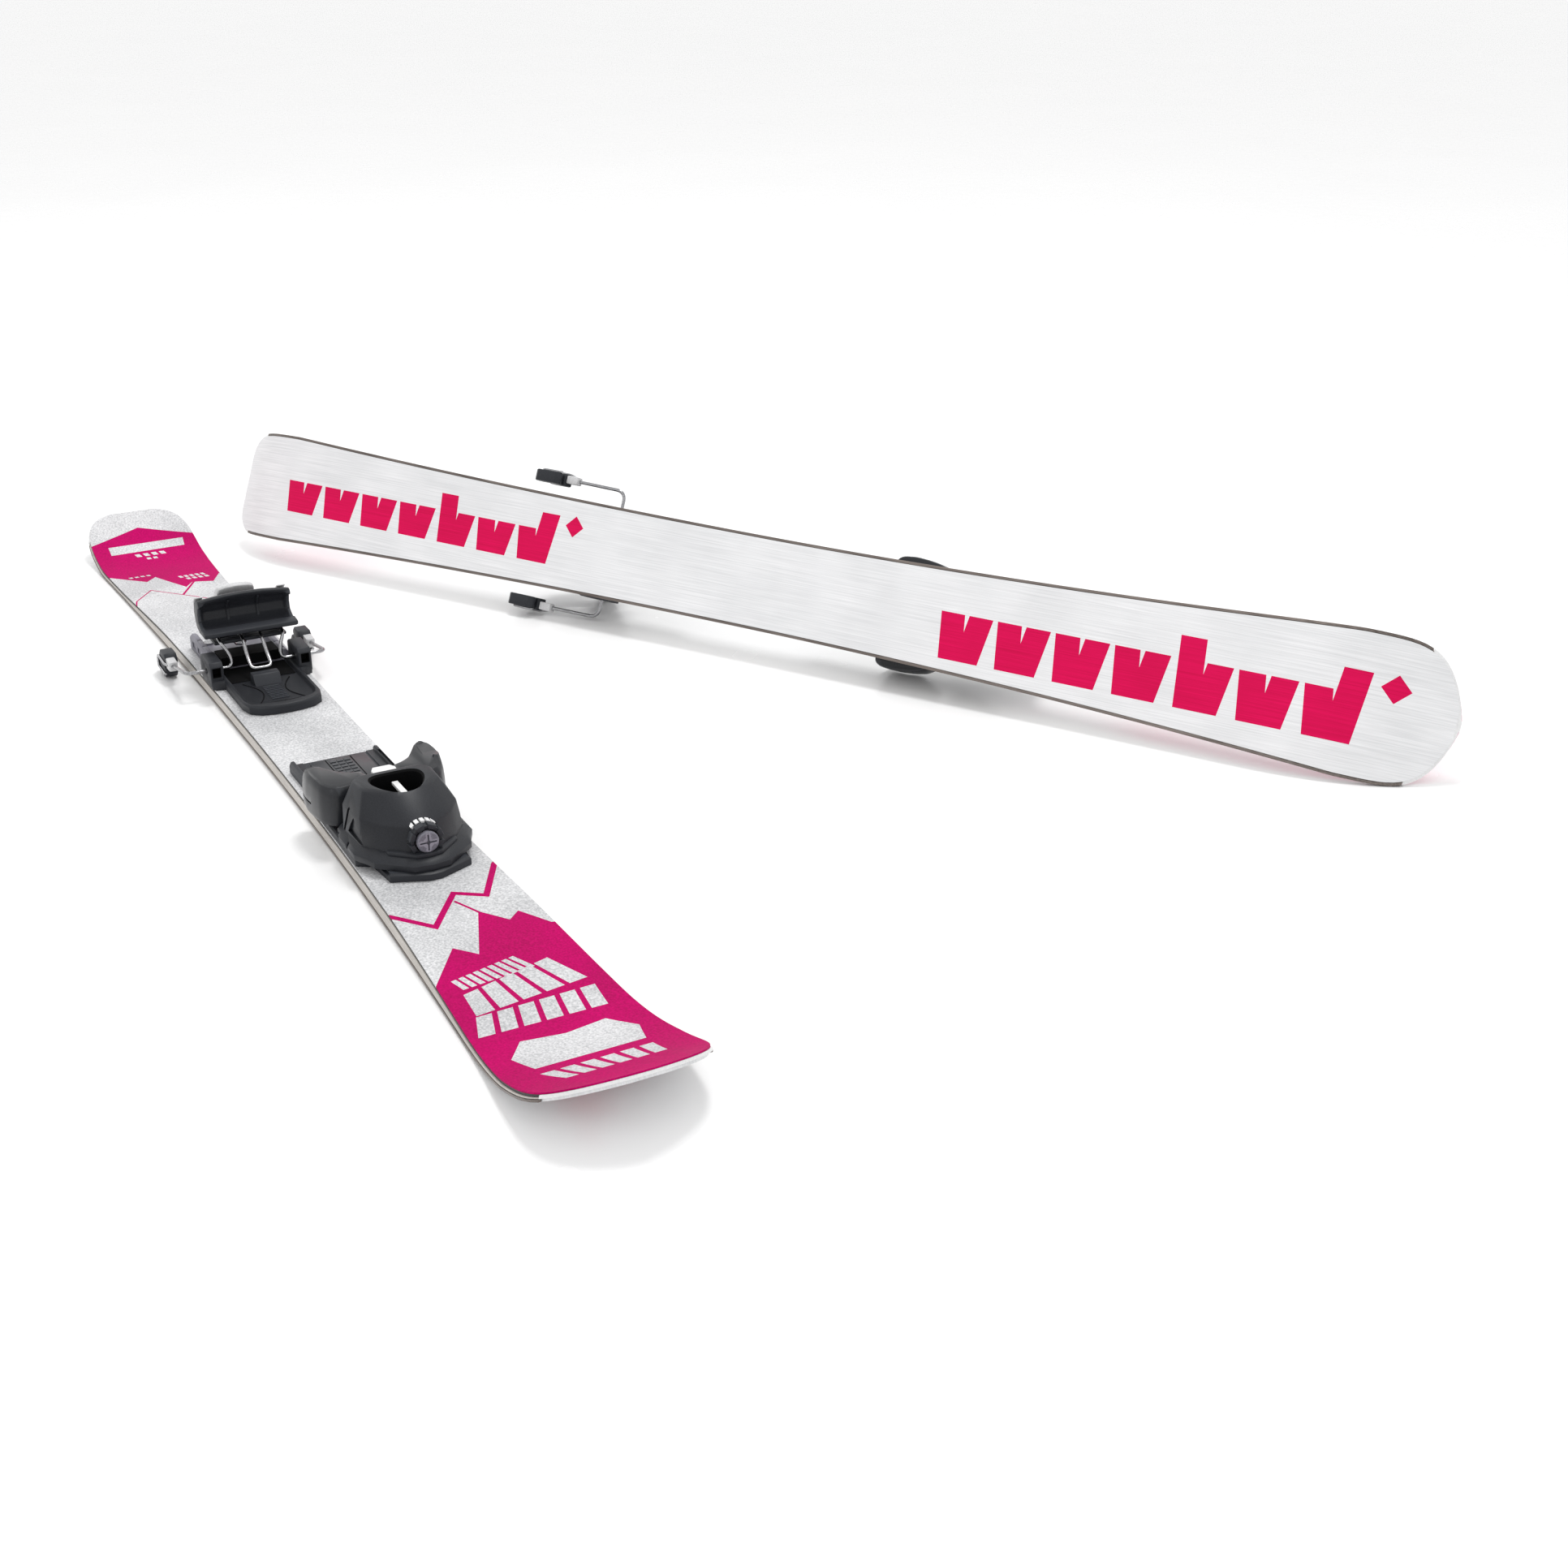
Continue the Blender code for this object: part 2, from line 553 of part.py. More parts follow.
def build_cup(ski):
    jaw = [(0.4275, 0.0465), (0.4275, 0.0495), (0.4120, 0.0515), (0.4065, 0.0560),
           (0.4050, 0.0620), (0.4075, 0.0680), (0.4140, 0.0715), (0.4140, 0.0750),
           (0.4060, 0.0735), (0.4010, 0.0695), (0.3990, 0.0620), (0.4000, 0.0550),
           (0.4040, 0.0490), (0.4100, 0.0465)]
    s, z = CUP_PIVOT
    cup = ski.add("heel_cup", prism(jaw, "Y", (-CUP_HALF, CUP_HALF)), PLASTIC, pivot=(s, 0.0, z))
    lug = [(0.4050, 0.0500), (0.4005, 0.0640), (0.3770, 0.0503), (0.3742, 0.0450),
           (0.3765, 0.0405), (0.3810, 0.0390), (0.3930, 0.0425)]
    rib = [(0.4050, 0.0530), (0.4110, 0.0535), (0.4080, 0.0620), (0.4105, 0.0690),
           (0.4040, 0.0700)]
    for side in (-1, 1):
        ski.change(cup, prism(lug, "Y", across(side, LUG_SIDES)), "UNION")
        ski.change(cup, prism(rib, "Y", across(side, RIB_SIDES)), "UNION")
    ski.change(cup, rod((s, -0.040, z), (s, 0.040, z), CUP_PIN_RADIUS + 0.0004), "DIFFERENCE")
    build_lever(ski)


def build_lever(ski):
    outline = arc(LEVER_PIVOT, LEVER_HUB_RADIUS, 180, 330, 5)
    outline += [(0.3730, 0.0450), (0.3790, 0.0580), (0.3925, 0.0745), (0.3935, 0.0785),
                (0.3890, 0.0800), (0.3800, 0.0745), (0.3690, 0.0610), (0.3600, 0.0460)]
    s, z = LEVER_PIVOT
    lever = ski.add("heel_lever", prism(outline, "Y", (-LEVER_HALF, LEVER_HALF)), PALE,
                    pivot=(s, 0.0, z))
    ski.change(lever, rod((s, -0.030, z), (s, 0.030, z), LEVER_PIN_RADIUS + 0.0004), "DIFFERENCE")


def build_brake(ski):
    tray = [(BRAKE_REAR, -0.0400), (TOWER_FRONT, -0.0400), (0.4500, -0.0310), (0.5020, -0.0310),
            (0.5140, -0.0250), (BRAKE_FRONT - 0.001, -0.0120), (BRAKE_FRONT, 0.0)]
    tray = tray + [(s, -y) for s, y in reversed(tray[:-1])]
    base = ski.add("brake_base", prism(tray, "Z", (DECK, TRAY_TOP)), PLASTIC)
    pocket = [(0.4100, -0.0270), (0.4990, -0.0270), (0.5090, -0.0220), (0.5140, -0.0110),
              (0.5148, 0.0)]
    pocket = pocket + [(s, -y) for s, y in reversed(pocket[:-1])]
    ski.change(base, prism(pocket, "Z", (TRAY_FLOOR, TRAY_TOP + OVERRUN)), "DIFFERENCE")
    pivot_s, pivot_z = BRAKE_PIVOT
    for side in (-1, 1):
        ski.change(base, block((BRAKE_REAR, TOWER_FRONT), across(side, TOWER_SIDES),
                               (0.0140, TOWER_TOP)), "UNION")
        ski.change(base, block((0.4390, 0.4500), across(side, (0.0320, 0.0385)),
                               (0.0215, 0.0285)), "DIFFERENCE")
        ski.change(base, rod((pivot_s, side * 0.0200, pivot_z), (pivot_s, side * 0.0500, pivot_z),
                             WIRE_RADIUS + 0.0007, 12), "DIFFERENCE")
    ski.change(base, block((0.4530, 0.4660), (-0.0100, 0.0100), (0.0145, 0.0210)), "UNION")
    build_brake_arms(ski)
    build_brake_pedal(ski)


def build_brake_arms(ski):
    pivot_s, pivot_z = BRAKE_PIVOT
    pivot = (pivot_s, 0.0, pivot_z)
    side_view = [(FOOT_REAR, 0.0040), (0.3560, 0.0006), (0.3740, 0.0006), (FOOT_FRONT, 0.0060),
                 (FOOT_FRONT, 0.0200), (0.3760, 0.0222), (0.3540, 0.0205), (FOOT_REAR, 0.0160)]
    for name, side in (("left", -1), ("right", 1)):
        route = [(pivot_s, side * 0.0345, pivot_z), (pivot_s, side * ARM_SIDE, pivot_z),
                 (FOOT_FRONT + 0.0008, side * ARM_SIDE, 0.0145)]
        ski.wire("brake_arm_" + name, bent(route, 0.009, 4), WIRE_RADIUS, STEEL, pivot)
        ski.add("brake_foot_" + name, prism(side_view, "Y", across(side, FOOT_SIDES)), PLASTIC,
                pivot=pivot, bevel=0.0012)


def build_brake_pedal(ski):
    pivot_s, pivot_z = BRAKE_PIVOT
    pivot = (pivot_s, 0.0, pivot_z)
    ski.add("brake_pedal", block(PEDAL_SPAN, (-PEDAL_HALF, PEDAL_HALF), PEDAL_HEIGHTS), PLASTIC,
            pivot=pivot, bevel=0.0008)
    half = [(pivot_s, 0.0335, pivot_z), (pivot_s, 0.0195, pivot_z), (0.4300, 0.0205, 0.0330),
            (0.4255, 0.0255, 0.0425), (0.4170, 0.0255, 0.0440), (0.4170, 0.0075, 0.0440),
            (0.4255, 0.0075, 0.0425), (0.4380, 0.0080, 0.0300), (0.4480, 0.0080, 0.0240)]
    route = half + [(s, -y, z) for s, y, z in reversed(half)]
    ski.wire("brake_legs", bent(route, 0.004, 3), WIRE_RADIUS, STEEL, pivot)


def build_ski(prefix, parts, cutters):
    ski = Ski(prefix, parts, cutters)
    build_board(ski)
    build_toe(ski)
    build_track(ski)
    build_carriage(ski)
    build_cup(ski)
    build_brake(ski)
    return ski.frame


def main():
    clear_scene()
    parts = collection("pair of short skis")
    cutters = collection("cutters")
    build_ski("ski1", parts, cutters)
    second = build_ski("ski2", parts, cutters)
    second.location = SECOND_PLACE
    second.rotation_euler = (SECOND_LEAN, SECOND_PITCH, SECOND_YAW)


main()
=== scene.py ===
"""The pair of short skis as it looks: materials, printed graphics and detailed bindings."""
import math

import bmesh
import bpy
from mathutils import Euler, Matrix, Vector
from mathutils.geometry import delaunay_2d_cdt


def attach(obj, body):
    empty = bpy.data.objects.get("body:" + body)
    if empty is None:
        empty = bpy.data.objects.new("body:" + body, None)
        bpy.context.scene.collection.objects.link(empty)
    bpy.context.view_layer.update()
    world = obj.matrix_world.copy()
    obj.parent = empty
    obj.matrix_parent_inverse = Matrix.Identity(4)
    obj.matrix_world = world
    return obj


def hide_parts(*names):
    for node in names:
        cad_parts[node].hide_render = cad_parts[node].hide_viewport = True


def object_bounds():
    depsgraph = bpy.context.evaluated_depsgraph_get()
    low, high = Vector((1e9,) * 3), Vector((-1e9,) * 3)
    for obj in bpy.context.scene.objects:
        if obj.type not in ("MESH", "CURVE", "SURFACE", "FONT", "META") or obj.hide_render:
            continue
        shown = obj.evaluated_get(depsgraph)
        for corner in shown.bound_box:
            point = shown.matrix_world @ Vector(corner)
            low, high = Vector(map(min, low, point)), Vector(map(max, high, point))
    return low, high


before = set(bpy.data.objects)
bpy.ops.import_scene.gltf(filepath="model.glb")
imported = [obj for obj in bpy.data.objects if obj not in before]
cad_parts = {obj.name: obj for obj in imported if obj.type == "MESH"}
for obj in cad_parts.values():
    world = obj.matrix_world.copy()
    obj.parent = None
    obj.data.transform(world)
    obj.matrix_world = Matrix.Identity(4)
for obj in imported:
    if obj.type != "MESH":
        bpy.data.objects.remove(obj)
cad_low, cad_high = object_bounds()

# The camera, at the angle the object is looked at from
CAMERA_PLACE = Vector((1.3832, -0.3667, 0.5998))
CAMERA_YAW, CAMERA_PITCH = 2.6358, 0.4233
CAMERA_LENS, SENSOR = 46.58, 36.0

# The ski, as in the CAD model: +X to the tip, +Z out of the deck, origin at half length.
# Positions along the ski are distances from the tail.
LENGTH = 1.16
TIP_WIDTH, WAIST_WIDTH, TAIL_WIDTH = 0.109, 0.078, 0.099
TIP_AT, WAIST_AT, TAIL_AT = 1.085, 0.589, 0.08
TIP_RISE, TIP_CURVE = 0.039, 0.146
TAIL_RISE, TAIL_CURVE = 0.03, 0.1
CURVE_POWER = 2.26
# Each end is a rounded curve with two powers, cut off just before its width reaches zero
TIP_ROUND, TAIL_ROUND, BLUNT = (5, 0.78), (6, 0.30), 0.995
MID_THICKNESS, END_THICKNESS = 0.011, 0.0055
DECK_FLAT = (0.32, 0.87)
DECK_FADE = 0.2
EDGE_HEIGHT, EDGE_WIDTH = 0.0018, 0.0022
SHEET_THICKNESS = 0.0009
SIDEWALL_WIDTH = 0.0032
SPACER_LENGTH = 0.028
SEAM_HEIGHT = 0.0016
GAP = 0.0003
DECK = MID_THICKNESS + GAP

# Corners sharper than this many degrees stay sharp when shaded, or are rounded by a bevel
SHARP_ANGLE, ROUNDED_ANGLE = 34.0, 28.0
# Points nearer than this are one point
SAME_PLACE = 1e-5

SECOND_PLACE = Vector((-0.0361, 0.3802, 0.0633))
SECOND_TURN = Euler((-math.radians(90 + 24.86), math.radians(0.64), 0.5369), "XYZ")
SKIS = {"ski1": Matrix.Identity(4),
        "ski2": Matrix.LocRotScale(SECOND_PLACE, SECOND_TURN, None)}


def linked(name, data):
    """A new object of the scene."""
    made = bpy.data.objects.new(name, data)
    bpy.context.scene.collection.objects.link(made)
    return made


def aimed(made, place, ahead):
    """Puts a camera or a lamp at a place, facing ahead."""
    made.location = place
    made.rotation_mode = "QUATERNION"
    made.rotation_quaternion = ahead.to_track_quat("-Z", "Y")


def camera():
    data = bpy.data.cameras.new("camera")
    data.lens = CAMERA_LENS
    data.sensor_width = SENSOR
    data.sensor_fit = "HORIZONTAL"
    data.clip_start, data.clip_end = 0.02, 60.0
    made = linked("camera", data)
    ahead = Vector((math.cos(CAMERA_PITCH) * math.cos(CAMERA_YAW),
                    math.cos(CAMERA_PITCH) * math.sin(CAMERA_YAW), -math.sin(CAMERA_PITCH)))
    aimed(made, CAMERA_PLACE, ahead)
    bpy.context.scene.camera = made


# Materials: object coordinates are metres in the ski's own frame.
# Brightness and roughness come from fine and broad noise, so no surface is flat.


def surface(name, dark, light, rough, grain, bump=0.0, stretch=(1, 1, 1), patch=18.0,
            metallic=0.0, edge_highlight=None, coat=0.0, specular=0.5, streak=0.0):
    """A material whose colour runs from dark to light with a fine grain and broad patches.

    grain and patch are noise scales per metre, and stretch scales the grain along each axis.
    The edge highlight colour paints a highlight on outer edges. streak adds lines along the ski.
    """
    made = bpy.data.materials.new(name)
    made.use_nodes = True
    tree = made.node_tree
    shader = tree.nodes["Principled BSDF"]
    shader.inputs["Metallic"].default_value = metallic
    shader.inputs["Specular IOR Level"].default_value = specular
    if coat:
        shader.inputs["Coat Weight"].default_value = coat
        shader.inputs["Coat Roughness"].default_value = 0.18
    place = tree.nodes.new("ShaderNodeTexCoord").outputs["Object"]

    def add(kind, values, links):
        node = tree.nodes.new(kind)
        for socket, value in values.items():
            node.inputs[socket].default_value = value
        for socket, source in links.items():
            tree.links.new(source, node.inputs[socket])
        return node

    def noise(scale, squeeze, detail):
        turn = add("ShaderNodeMapping", {"Scale": squeeze}, {"Vector": place})
        return add("ShaderNodeTexNoise", {"Scale": scale, "Detail": detail},
                   {"Vector": turn.outputs["Vector"]}).outputs["Fac"]

    def spread(source, low, high, to_low, to_high):
        return add("ShaderNodeMapRange", {"From Min": low, "From Max": high, "To Min": to_low,
                                          "To Max": to_high}, {"Value": source}).outputs["Result"]

    def mix(share, first, second):
        node = tree.nodes.new("ShaderNodeMix")
        node.data_type = "RGBA"
        tree.links.new(share, node.inputs["Factor"])
        for socket, value in (("A", first), ("B", second)):
            target = [item for item in node.inputs if item.name == socket and item.type == "RGBA"][0]
            if isinstance(value, tuple):
                target.default_value = (*value, 1.0)
            else:
                tree.links.new(value, target)
        return [item for item in node.outputs if item.type == "RGBA"][0]

    fine = noise(grain, stretch, 4.0)
    broad = noise(patch, (1, 1, 1), 2.0)
    share = tree.nodes.new("ShaderNodeMath")
    share.operation = "ADD"
    tree.links.new(spread(fine, 0.32, 0.68, 0.0, 0.72), share.inputs[0])
    tree.links.new(spread(broad, 0.35, 0.65, 0.0, 0.28), share.inputs[1])
    colour = mix(share.outputs[0], dark, light)
    if streak:
        lines = noise(1.0, (9.0, 1600.0, 30.0), 2.0)
        colour = mix(spread(lines, 0.50, 0.80, 0.0, streak), colour, dark)
    # Painted highlight: outer edges, found by their pointiness, are mixed towards a lighter colour.
    if edge_highlight:
        ridge = tree.nodes.new("ShaderNodeNewGeometry").outputs["Pointiness"]
        colour = mix(spread(ridge, 0.52, 0.62, 0.0, 0.75), colour, edge_highlight)
    tree.links.new(colour, shader.inputs["Base Color"])
    tree.links.new(spread(broad, 0.3, 0.7, rough[0], rough[1]), shader.inputs["Roughness"])
    if bump:
        dent = add("ShaderNodeBump", {"Strength": 0.6, "Distance": bump}, {"Height": fine})
        tree.links.new(dent.outputs["Normal"], shader.inputs["Normal"])
    return made


DECK_WHITE = surface("deck white", (0.34, 0.345, 0.355), (0.76, 0.76, 0.77), (0.42, 0.58), 700.0,
                     0.00008)
DECK_PINK = surface("deck magenta", (0.34, 0.001, 0.08), (0.56, 0.002, 0.135), (0.55, 0.68),
                    700.0, 0.00004, specular=0.04)
BASE_WHITE = surface("base white", (0.66, 0.665, 0.675), (0.86, 0.86, 0.87), (0.30, 0.42), 1.0,
                     0.00004, (14.0, 1100.0, 40.0), streak=0.12)
BASE_PINK = surface("base magenta", (0.56, 0.002, 0.062), (0.74, 0.004, 0.095), (0.45, 0.58), 1.0,
                    0.00003, (14.0, 1100.0, 40.0), specular=0.08, streak=0.12)
EDGE_STEEL = surface("edge steel", (0.11, 0.092, 0.084), (0.26, 0.225, 0.205), (0.28, 0.42), 1.0,
                     0.00003, (25.0, 1500.0, 1500.0), metallic=1.0)
CREAM = surface("cream sidewall", (0.44, 0.41, 0.375), (0.58, 0.545, 0.505), (0.40, 0.52), 1.0,
                0.00003, (30.0, 700.0, 700.0))
SEAM = surface("dark seam", (0.02, 0.02, 0.022), (0.05, 0.048, 0.048), (0.5, 0.7), 800.0,
               0.00003)
WHITE = surface("white plastic", (0.74, 0.74, 0.74), (0.86, 0.86, 0.86), (0.35, 0.48), 700.0,
                0.00002)
# The charcoal, polished and violet plastics get a painted highlight on their outer edges.
PLASTIC = surface("charcoal plastic", (0.01, 0.0108, 0.0136), (0.0205, 0.0222, 0.027),
                  (0.36, 0.50), 1500.0, 0.00005, edge_highlight=(0.05, 0.054, 0.063), specular=0.24)
GLOSSY = surface("dark polished plastic", (0.009, 0.0097, 0.0122), (0.0175, 0.0188, 0.0225),
                 (0.24, 0.34), 1500.0, 0.00002, edge_highlight=(0.04, 0.043, 0.05), coat=0.10,
                 specular=0.30)
# Painted shade: a black far darker than the plastics, for recesses, grooves and floors under the
# heel cup.
PAINTED_SHADE = surface("black painted shade", (0.0015, 0.0015, 0.0018), (0.004, 0.004, 0.0044), (0.6, 0.8),
                1500.0, 0.00003, specular=0.10)
VIOLET = surface("grey violet plastic", (0.1, 0.098, 0.122), (0.175, 0.17, 0.205),
                 (0.36, 0.48), 1300.0, 0.00004, edge_highlight=(0.30, 0.29, 0.34))
# Light grey: partly the plastic's own colour, partly a painted highlight, as on the heel cup's top
# corners and the release lever.
GREY_AND_HIGHLIGHT = surface("light grey plastic and painted highlight", (0.50, 0.50, 0.505), (0.66, 0.66, 0.67), (0.36, 0.48),
                900.0, 0.00004)
STEEL = surface("bright steel", (0.20, 0.20, 0.21), (0.46, 0.46, 0.47), (0.14, 0.24), 1.0,
                0.00002, (60.0, 1400.0, 1400.0), metallic=1.0)
WOOD = surface("laminated wood", (0.33, 0.215, 0.12), (0.62, 0.46, 0.29), (0.55, 0.70), 1.0,
               0.00006, (20.0, 260.0, 260.0))


# Shapes


def at(s):
    """The ski's own x for a distance from the tail."""
    return s - LENGTH / 2


def prism(outline, across, span):
    """A flat outline pushed along one axis: outlines are (s, y), (s, z) or (y, z) pairs."""
    spot = "XYZ".index(across)
    return loft([[(*pair[:spot], end, *pair[spot:]) for pair in outline] for end in span])


def block(x, y, z):
    y = sorted(y)
    return prism([(x[0], y[0]), (x[1], y[0]), (x[1], y[1]), (x[0], y[1])], "Z", z)


def loft(rings, closed=False):
    """Closed skin through rings of (s, y, z) points, with flat ends or joined end to end."""
    made = bmesh.new()
    rows = [[made.verts.new((at(s), y, z)) for s, y, z in ring] for ring in rings]
    count = len(rows[0])
    pairs = list(zip(rows, rows[1:]))
    if closed:
        pairs.append((rows[-1], rows[0]))
    for row, following in pairs:
        for index in range(count):
            beside = (index + 1) % count
            made.faces.new((row[index], row[beside], following[beside], following[index]))
    if not closed:
        made.faces.new(rows[0])
        made.faces.new(rows[-1])
    bmesh.ops.recalc_face_normals(made, faces=made.faces)
    return made


ROUND_SIDES, POST_SIDES = 40, 32


def circle(centre, radius, sides):
    """Points round a centre, as pairs."""
    return [(centre[0] + radius * math.cos(turn * math.tau / sides),
             centre[1] + radius * math.sin(turn * math.tau / sides)) for turn in range(sides)]


def turned(profile, centre_z, sides=ROUND_SIDES):
    """A round solid along the ski, from (radius, distance from the tail) pairs."""
    return loft([[(s, y, z) for y, z in circle((0.0, centre_z), radius, sides)]
                 for radius, s in profile])


def upright(radius, centre, heights):
    """A round post along Z, centred on (distance from the tail, y)."""
    return prism(circle(centre, radius, POST_SIDES), "Z", heights)


def crosswise(radius, centre, reach):
    """A round bar along Y, centred on (distance from the tail, z)."""
    return prism(circle(centre, radius, POST_SIDES), "Y", reach)


def level(outline, z):
    """An outline of (s, y) pairs at one height."""
    return [(s, y, z) for s, y in outline]


def eased(points, radius, steps, closed=False):
    """The points with inner corners rounded to about the radius."""
    places = [Vector(point) for point in points]
    if closed:
        trios = [(places[index - 1], places[index], places[(index + 1) % len(places)])
                 for index in range(len(places))]
        route = []
    else:
        trios = list(zip(places, places[1:], places[2:]))
        route = [places[0]]
    for before, corner, after in trios:
        start = corner + (before - corner).normalized() * min(radius, (before - corner).length / 2)
        end = corner + (after - corner).normalized() * min(radius, (after - corner).length / 2)
        for step in range(steps + 1):
            share = step / steps
            place = start.lerp(corner, share).lerp(corner.lerp(end, share), share)
            if not route or (place - route[-1]).length > SAME_PLACE:
                route.append(place)
    if closed and (route[0] - route[-1]).length < SAME_PLACE:
        route.pop()
    if not closed and (places[-1] - route[-1]).length > SAME_PLACE:
        route.append(places[-1])
    return route


def softened(outline, radius):
    """A closed outline of (s, y) pairs with its corners rounded."""
    return [(place.x, place.y) for place in eased(level(outline, 0.0), radius, 3, closed=True)]


def tube(points, radius, sides=14):
    """A round wire through (s, y, z) points."""
    places = [Vector(point) for point in points]
    last = len(places) - 1
    rings = []
    side = None
    for index, place in enumerate(places):
        ahead = (places[min(index + 1, last)] - places[max(index - 1, 0)]).normalized()
        if side is None:
            side = ahead.orthogonal().normalized()
        side = (side - ahead * side.dot(ahead)).normalized()
        other = ahead.cross(side)
        rings.append([place + radius * (side * math.cos(turn * math.tau / sides)
                                        + other * math.sin(turn * math.tau / sides))
                      for turn in range(sides)])
    return loft(rings)


def mirrored(shape):
    """A copy of the shape turned over to the ski's other side."""
    made = shape.copy()
    bmesh.ops.scale(made, vec=(1, -1, 1), verts=made.verts)
    bmesh.ops.reverse_faces(made, faces=made.faces)
    return made


def both(shape):
    """The shape and its mirror image across the ski."""
    return [mirrored(shape), shape]


def look(shape, number):
    """The shape with all its faces in one of its piece's materials, by number."""
    for face in shape.faces:
        face.material_index = number
    return shape


def gathered(whole, shapes):
    """Adds shapes to a bmesh and uses them up: each is another bmesh or a finished mesh."""
    for shape in shapes:
        data = shape
        if isinstance(shape, bmesh.types.BMesh):
            data = bpy.data.meshes.new("part")
            shape.to_mesh(data)
            shape.free()
        whole.from_mesh(data)
        bpy.data.meshes.remove(data)
    return whole


def joined(shapes):
    """One new bmesh of the shapes, which are used up."""
    return gathered(bmesh.new(), shapes)


def with_more(mesh, shapes, angle=SHARP_ANGLE):
    """The mesh with further shapes in it, shaded smooth up to the sharp angle."""
    if shapes:
        whole = bmesh.new()
        whole.from_mesh(mesh)
        gathered(whole, shapes).to_mesh(mesh)
        whole.free()
    mesh.shade_smooth()
    mesh.set_sharp_from_angle(angle=math.radians(angle))
    return mesh


def as_object(shape, looks):
    data = bpy.data.meshes.new("work")
    shape.to_mesh(data)
    shape.free()
    for item in looks:
        data.materials.append(item)
    return linked("work", data)


def modified(target, kind, **settings):
    step = target.modifiers.new(kind, kind)
    for setting, value in settings.items():
        setattr(step, setting, value)


def finished(shapes, looks=(PLASTIC,), cuts=(), bevel=0.0, segments=2, angle=SHARP_ANGLE,
             thick=0.0, late=()):
    """The finished mesh of joined shapes: cut, thickened and edge-rounded.

    Shapes in late are added after the cuts.
    """
    main = as_object(joined(shapes), looks)
    tools = [as_object(cut, looks) for cut in cuts]
    for tool in tools:
        modified(main, "BOOLEAN", operation="DIFFERENCE", solver="EXACT", object=tool)
    if thick:
        modified(main, "SOLIDIFY", thickness=thick, offset=-1)
    if bevel:
        modified(main, "BEVEL", width=bevel, segments=segments, limit_method="ANGLE",
                 angle_limit=math.radians(ROUNDED_ANGLE))
    bpy.context.view_layer.update()
    graph = bpy.context.evaluated_depsgraph_get()
    mesh = bpy.data.meshes.new_from_object(main.evaluated_get(graph))
    for item in [main, *tools]:
        bpy.data.objects.remove(item)
    return with_more(mesh, late, angle)


def piece(name, mesh, body="", replaced=None):
    """The same piece on both skis, riding on each ski's body and standing for its CAD node."""
    mesh.name = name
    for prefix, place in SKIS.items():
        made = linked(prefix + "_" + name, mesh)
        made.matrix_world = place
        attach(made, prefix + body)
        if replaced:
            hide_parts(prefix + "_" + replaced)


# The ski's outline, curve and layers


def half_width(s):
    """Half the ski's width: a curve each side of the waist and a rounded end beyond the widest."""
    if s < TAIL_AT:
        reach = min((TAIL_AT - s) / TAIL_AT, BLUNT)
        return TAIL_WIDTH / 2 * (1 - reach ** TAIL_ROUND[0]) ** TAIL_ROUND[1]
    if s > TIP_AT:
        reach = min((s - TIP_AT) / (LENGTH - TIP_AT), BLUNT)
        return TIP_WIDTH / 2 * (1 - reach ** TIP_ROUND[0]) ** TIP_ROUND[1]
    if s < WAIST_AT:
        share = (WAIST_AT - s) / (WAIST_AT - TAIL_AT)
        return WAIST_WIDTH / 2 + (TAIL_WIDTH - WAIST_WIDTH) / 2 * share ** 2
    share = (s - WAIST_AT) / (TIP_AT - WAIST_AT)
    return WAIST_WIDTH / 2 + (TIP_WIDTH - WAIST_WIDTH) / 2 * share ** 2


def base_height(s):
    if s > LENGTH - TIP_CURVE:
        return TIP_RISE * ((s - LENGTH + TIP_CURVE) / TIP_CURVE) ** CURVE_POWER
    if s < TAIL_CURVE:
        return TAIL_RISE * ((TAIL_CURVE - s) / TAIL_CURVE) ** CURVE_POWER
    return 0.0


def thickness(s):
    if s < DECK_FLAT[0]:
        share = (DECK_FLAT[0] - s) / DECK_FADE
    else:
        share = (s - DECK_FLAT[1]) / DECK_FADE
    share = min(max(share, 0.0), 1.0)
    ease = share * share * (3 - 2 * share)
    return MID_THICKNESS + (END_THICKNESS - MID_THICKNESS) * ease


def deck_height(s):
    return base_height(s) + thickness(s)


def core_low(s):
    return base_height(s) + EDGE_HEIGHT + GAP


def core_high(s):
    return deck_height(s) - SHEET_THICKNESS - GAP


def seam_low(s):
    return core_high(s) - SEAM_HEIGHT


def stations(start, end, steps=130):
    """Distances from the tail, closest together at the ski's ends."""
    places = [LENGTH * (1 - math.cos(math.pi * step / steps)) / 2 for step in range(1, steps)]
    return [start, *[place for place in places if start + 1e-4 < place < end - 1e-4], end]


def inside(point, outline):
    """Whether a point lies in an outline, by how often a line from it crosses the outline."""
    s, y = point
    found = False
    for (s1, y1), (s2, y2) in zip(outline, outline[1:] + outline[:1]):
        if (y1 > y) != (y2 > y) and s < (s2 - s1) * (y - y1) / (y2 - y1) + s1:
            found = not found
    return found


PAST_EDGE = 0.07


